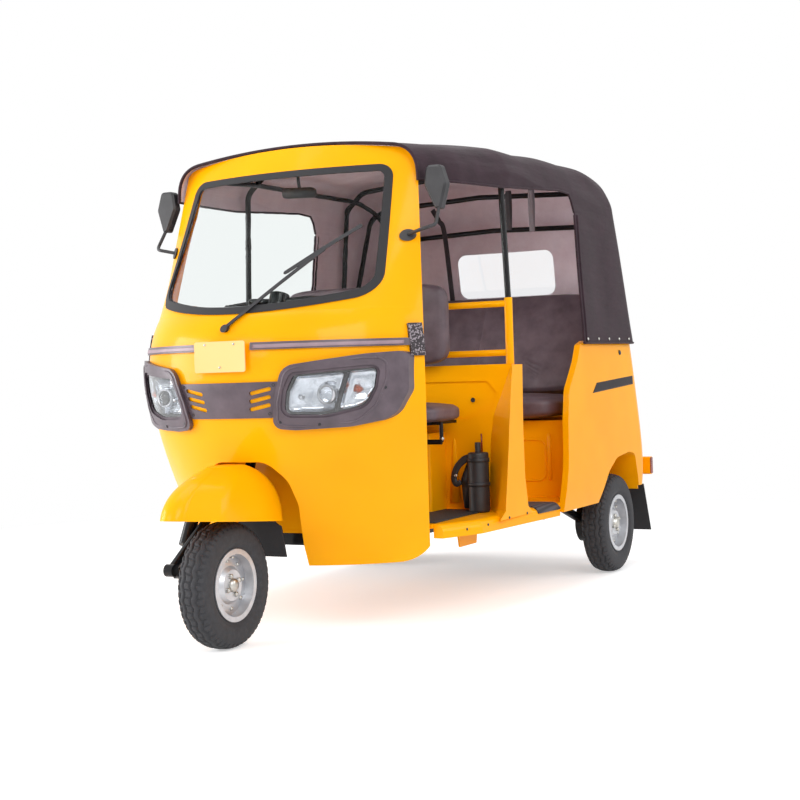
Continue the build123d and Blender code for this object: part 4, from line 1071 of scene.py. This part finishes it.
# ------------------------------------------------------------------ side trim
class RICKSHAW_OT_side_trim(bpy.types.Operator):
    """Bare side film, sill rivets, quarter markers, and dark red caps that paint shade on the bumper ends"""
    bl_idname = "rickshaw.side_trim"
    bl_label = "Side trim"

    def execute(self, context):
        quarter = "quarter_panel_left"
        film = patch([(648, 1668, 757), (648, 2155, 781), (648, 2158, 817), (648, 1722, 797)], 6, 60)
        film = slab(laid_on(film, quarter, 0.25), 0.0, 0.6)
        make_piece("side_film", both(film), "foil")
        marks = laid_on(np.array([(648.0, 2030, 918)]), quarter, 0.0)
        marker = turned([(0, 11), (2, 10.5), (5, 8), (6, 0)], marks[0], (1, 0, 0.1), 20)
        rivets = np.array([(640.0, y, 340) for y in (620, 760, 900, 1060, 1400, 1500)])
        rivets = studs(laid_on(rivets, "side_frame_left", 0.0), (1, 0, 0), 5.0)
        make_piece("quarter_markers", both(gathered([marker, rivets])), "bar")
        # dark red caps on the bumper ends, shaped as reflectors: painted shade of the yellow bumper where it
        # lies in shade
        cap = patch([(637.0, 2372, 382), (637, 2400, 382), (637, 2400, 451), (637, 2372, 451)], 4, 4)
        make_piece("bumper_end_shade_caps", both(slab(cap, -1.0, 2.0)), "red", smooth=False)
        return {"FINISHED"}


class RICKSHAW_OT_hatch_trim(bpy.types.Operator):
    """Latch and bare number plate on the engine hatch"""
    bl_idname = "rickshaw.hatch_trim"
    bl_label = "Hatch trim"

    def execute(self, context):
        z = np.linspace(600, 700, 12)[:, None]
        x = np.linspace(-140, 140, 36)[None, :]
        grid = np.stack(np.broadcast_arrays(x, 2420.0, z), -1)
        plate = slab(laid_on(grid, "engine_hatch", 3.0), 0.0, 2.0)
        make_piece("rear_plate", plate, "plate", "engine_door")
        spots = np.array([(-110.0, 2420, 650), (110.0, 2420, 650), (0.0, 2420, 520)])
        spots = laid_on(spots, "engine_hatch", 4.5)
        screws = studs(spots[:2], (0, 1, 0), 5.0)
        latch = turned([(-5, 22), (2, 22), (5, 18), (5, 8), (12, 7), (14, 0)], spots[2], (0, 1, -0.1), 28)
        make_piece("hatch_latch", gathered([screws, latch]), "plated", "engine_door")
        return {"FINISHED"}


# ------------------------------------------------------------------ stage
def blended(tree, fac, first, second):
    """Blend of two shaders' first outputs."""
    return add(tree, "ShaderNodeMixShader", {0: fac, 1: first.outputs[0], 2: second.outputs[0]})


def seen_directly(tree):
    """1 for camera, glossy and transmission rays, so that metal and glass show the white background too."""
    path = add(tree, "ShaderNodeLightPath")
    seen = path.outputs["Is Camera Ray"]
    for ray in ("Is Glossy Ray", "Is Transmission Ray"):
        seen = add(tree, "ShaderNodeMath", {0: seen, 1: path.outputs[ray]}, operation="MAXIMUM").outputs[0]
    return seen


class RICKSHAW_OT_stage(bpy.types.Operator):
    """Camera, pale floor and soft studio light"""
    bl_idname = "rickshaw.stage"
    bl_label = "Stage"

    def execute(self, context):
        scene = context.scene
        camera = bpy.data.cameras.new("camera")
        camera.sensor_width, camera.lens = 36.0, 67.837
        camera.clip_end = 200.0
        viewer = bpy.data.objects.new("camera", camera)
        viewer.location = (2.78612, -5.04844, 0.88590)
        viewer.rotation_euler = np.radians((88.7513, 1.9226, 27.9625)).tolist()
        scene.collection.objects.link(viewer)
        scene.camera = viewer
        floor_mesh = bpy.data.meshes.new("studio_floor")
        size = 40.0
        corners = [(-size, -size, 0), (size, -size, 0), (size, size, 0), (-size, size, 0)]
        floor_mesh.from_pydata(corners, [], [(0, 1, 2, 3)])
        floor = bpy.data.objects.new("studio_floor", floor_mesh)
        scene.collection.objects.link(floor)
        material, tree, surface_place = new_material("studio paper, white")
        white = linear("#FFFFFF")
        paper = add(tree, "ShaderNodeBsdfDiffuse", {"Color": linear("#F4F4F4")})
        glow = add(tree, "ShaderNodeEmission", {"Color": white, "Strength": 0.42})
        near = add(tree, "ShaderNodeAddShader", {0: paper.outputs[0], 1: glow.outputs[0]})
        away = add(tree, "ShaderNodeVectorMath", {0: surface_place}, operation="LENGTH").outputs["Value"]
        fade = add(tree, "ShaderNodeMapRange", {"Value": away, "From Min": 1.9, "From Max": 4.0})
        far = add(tree, "ShaderNodeEmission", {"Color": white, "Strength": 1.0})
        seen = blended(tree, fade.outputs["Result"], near, far)
        shown = blended(tree, seen_directly(tree), paper, seen)
        add(tree, "ShaderNodeOutputMaterial", {"Surface": shown.outputs[0]})
        floor_mesh.materials.append(material)
        world = bpy.data.worlds.new("studio")
        scene.world = world
        world.use_nodes = True
        wt = world.node_tree
        wt.nodes.clear()
        soft = add(wt, "ShaderNodeBackground", {"Color": linear("#F2F4F8"), "Strength": 0.55})
        backdrop = add(wt, "ShaderNodeBackground", {"Color": white, "Strength": 1.0})
        mixed = blended(wt, seen_directly(wt), soft, backdrop)
        add(wt, "ShaderNodeOutputWorld", {"Surface": mixed.outputs[0]})
        lamps = [
            # name, place, aim, size, power in watts
            ("key_softbox", (4.5, -4.5, 4.2), (0, 0, 0.8), 3.5, 190),
            ("front_softbox", (-1.5, -6.5, 3.0), (0, -0.5, 0.9), 3.0, 95),
            ("side_softbox", (6.0, 1.5, 3.0), (0.3, 0.6, 0.9), 3.0, 80),
            ("top_softbox", (0, 0.5, 6.0), (0, 0.2, 0.8), 5.0, 150),
            ("far_softbox", (-4.6, -2.6, 1.7), (0.2, 0.9, 1.3), 3.0, 230),
        ]
        for name, place, aim, size, power in lamps:
            light = bpy.data.lights.new(name, "AREA")
            light.size, light.energy = size, power
            lamp = bpy.data.objects.new(name, light)
            scene.collection.objects.link(lamp)
            lamp.location = place
            d = np.subtract(aim, place).astype(float)
            yaw = np.arctan2(d[0], -d[1])
            pitch = np.arctan2(np.hypot(d[0], d[1]), -d[2])
            lamp.rotation_euler = (pitch, 0.0, yaw + PI)
        scene.view_settings.view_transform = "Standard"
        return {"FINISHED"}


class RICKSHAW_PT_panel(bpy.types.Panel):
    """Lists the rickshaw's colours, sizes and pieces"""
    bl_idname = "RICKSHAW_PT_panel"
    bl_label = "Rickshaw"
    bl_space_type = "VIEW_3D"
    bl_region_type = "UI"
    bl_category = "Rickshaw"

    def draw(self, context):
        for key in GROUPS:
            group = getattr(context.scene, key)
            for name in group.bl_rna.properties.keys():
                if name not in ("rna_type", "name"):
                    self.layout.prop(group, name)
        for operator in OPERATORS:
            self.layout.operator(operator.bl_idname)


GROUPS = {"rickshaw_finishes": RickshawFinishes, "rickshaw_hood": RickshawHood, "rickshaw_tyre": RickshawTyre}
OPERATORS = [
    RICKSHAW_OT_stage, RICKSHAW_OT_finishes, RICKSHAW_OT_hood, RICKSHAW_OT_cushions, RICKSHAW_OT_tyres,
    RICKSHAW_OT_wheel_hardware, RICKSHAW_OT_lamps, RICKSHAW_OT_front_trim, RICKSHAW_OT_cabin,
    RICKSHAW_OT_side_trim, RICKSHAW_OT_hatch_trim,
]


def register():
    for name, group in GROUPS.items():
        bpy.utils.register_class(group)
        setattr(bpy.types.Scene, name, bpy.props.PointerProperty(type=group))
    for item in OPERATORS + [RICKSHAW_PT_panel]:
        bpy.utils.register_class(item)


def unregister():
    for item in reversed(OPERATORS + [RICKSHAW_PT_panel]):
        bpy.utils.unregister_class(item)
    for name, group in GROUPS.items():
        delattr(bpy.types.Scene, name)
        bpy.utils.unregister_class(group)


def main():
    register()
    for operator in OPERATORS:
        family, action = operator.bl_idname.split(".")
        getattr(getattr(bpy.ops, family), action)()


if __name__ == "__main__":
    main()
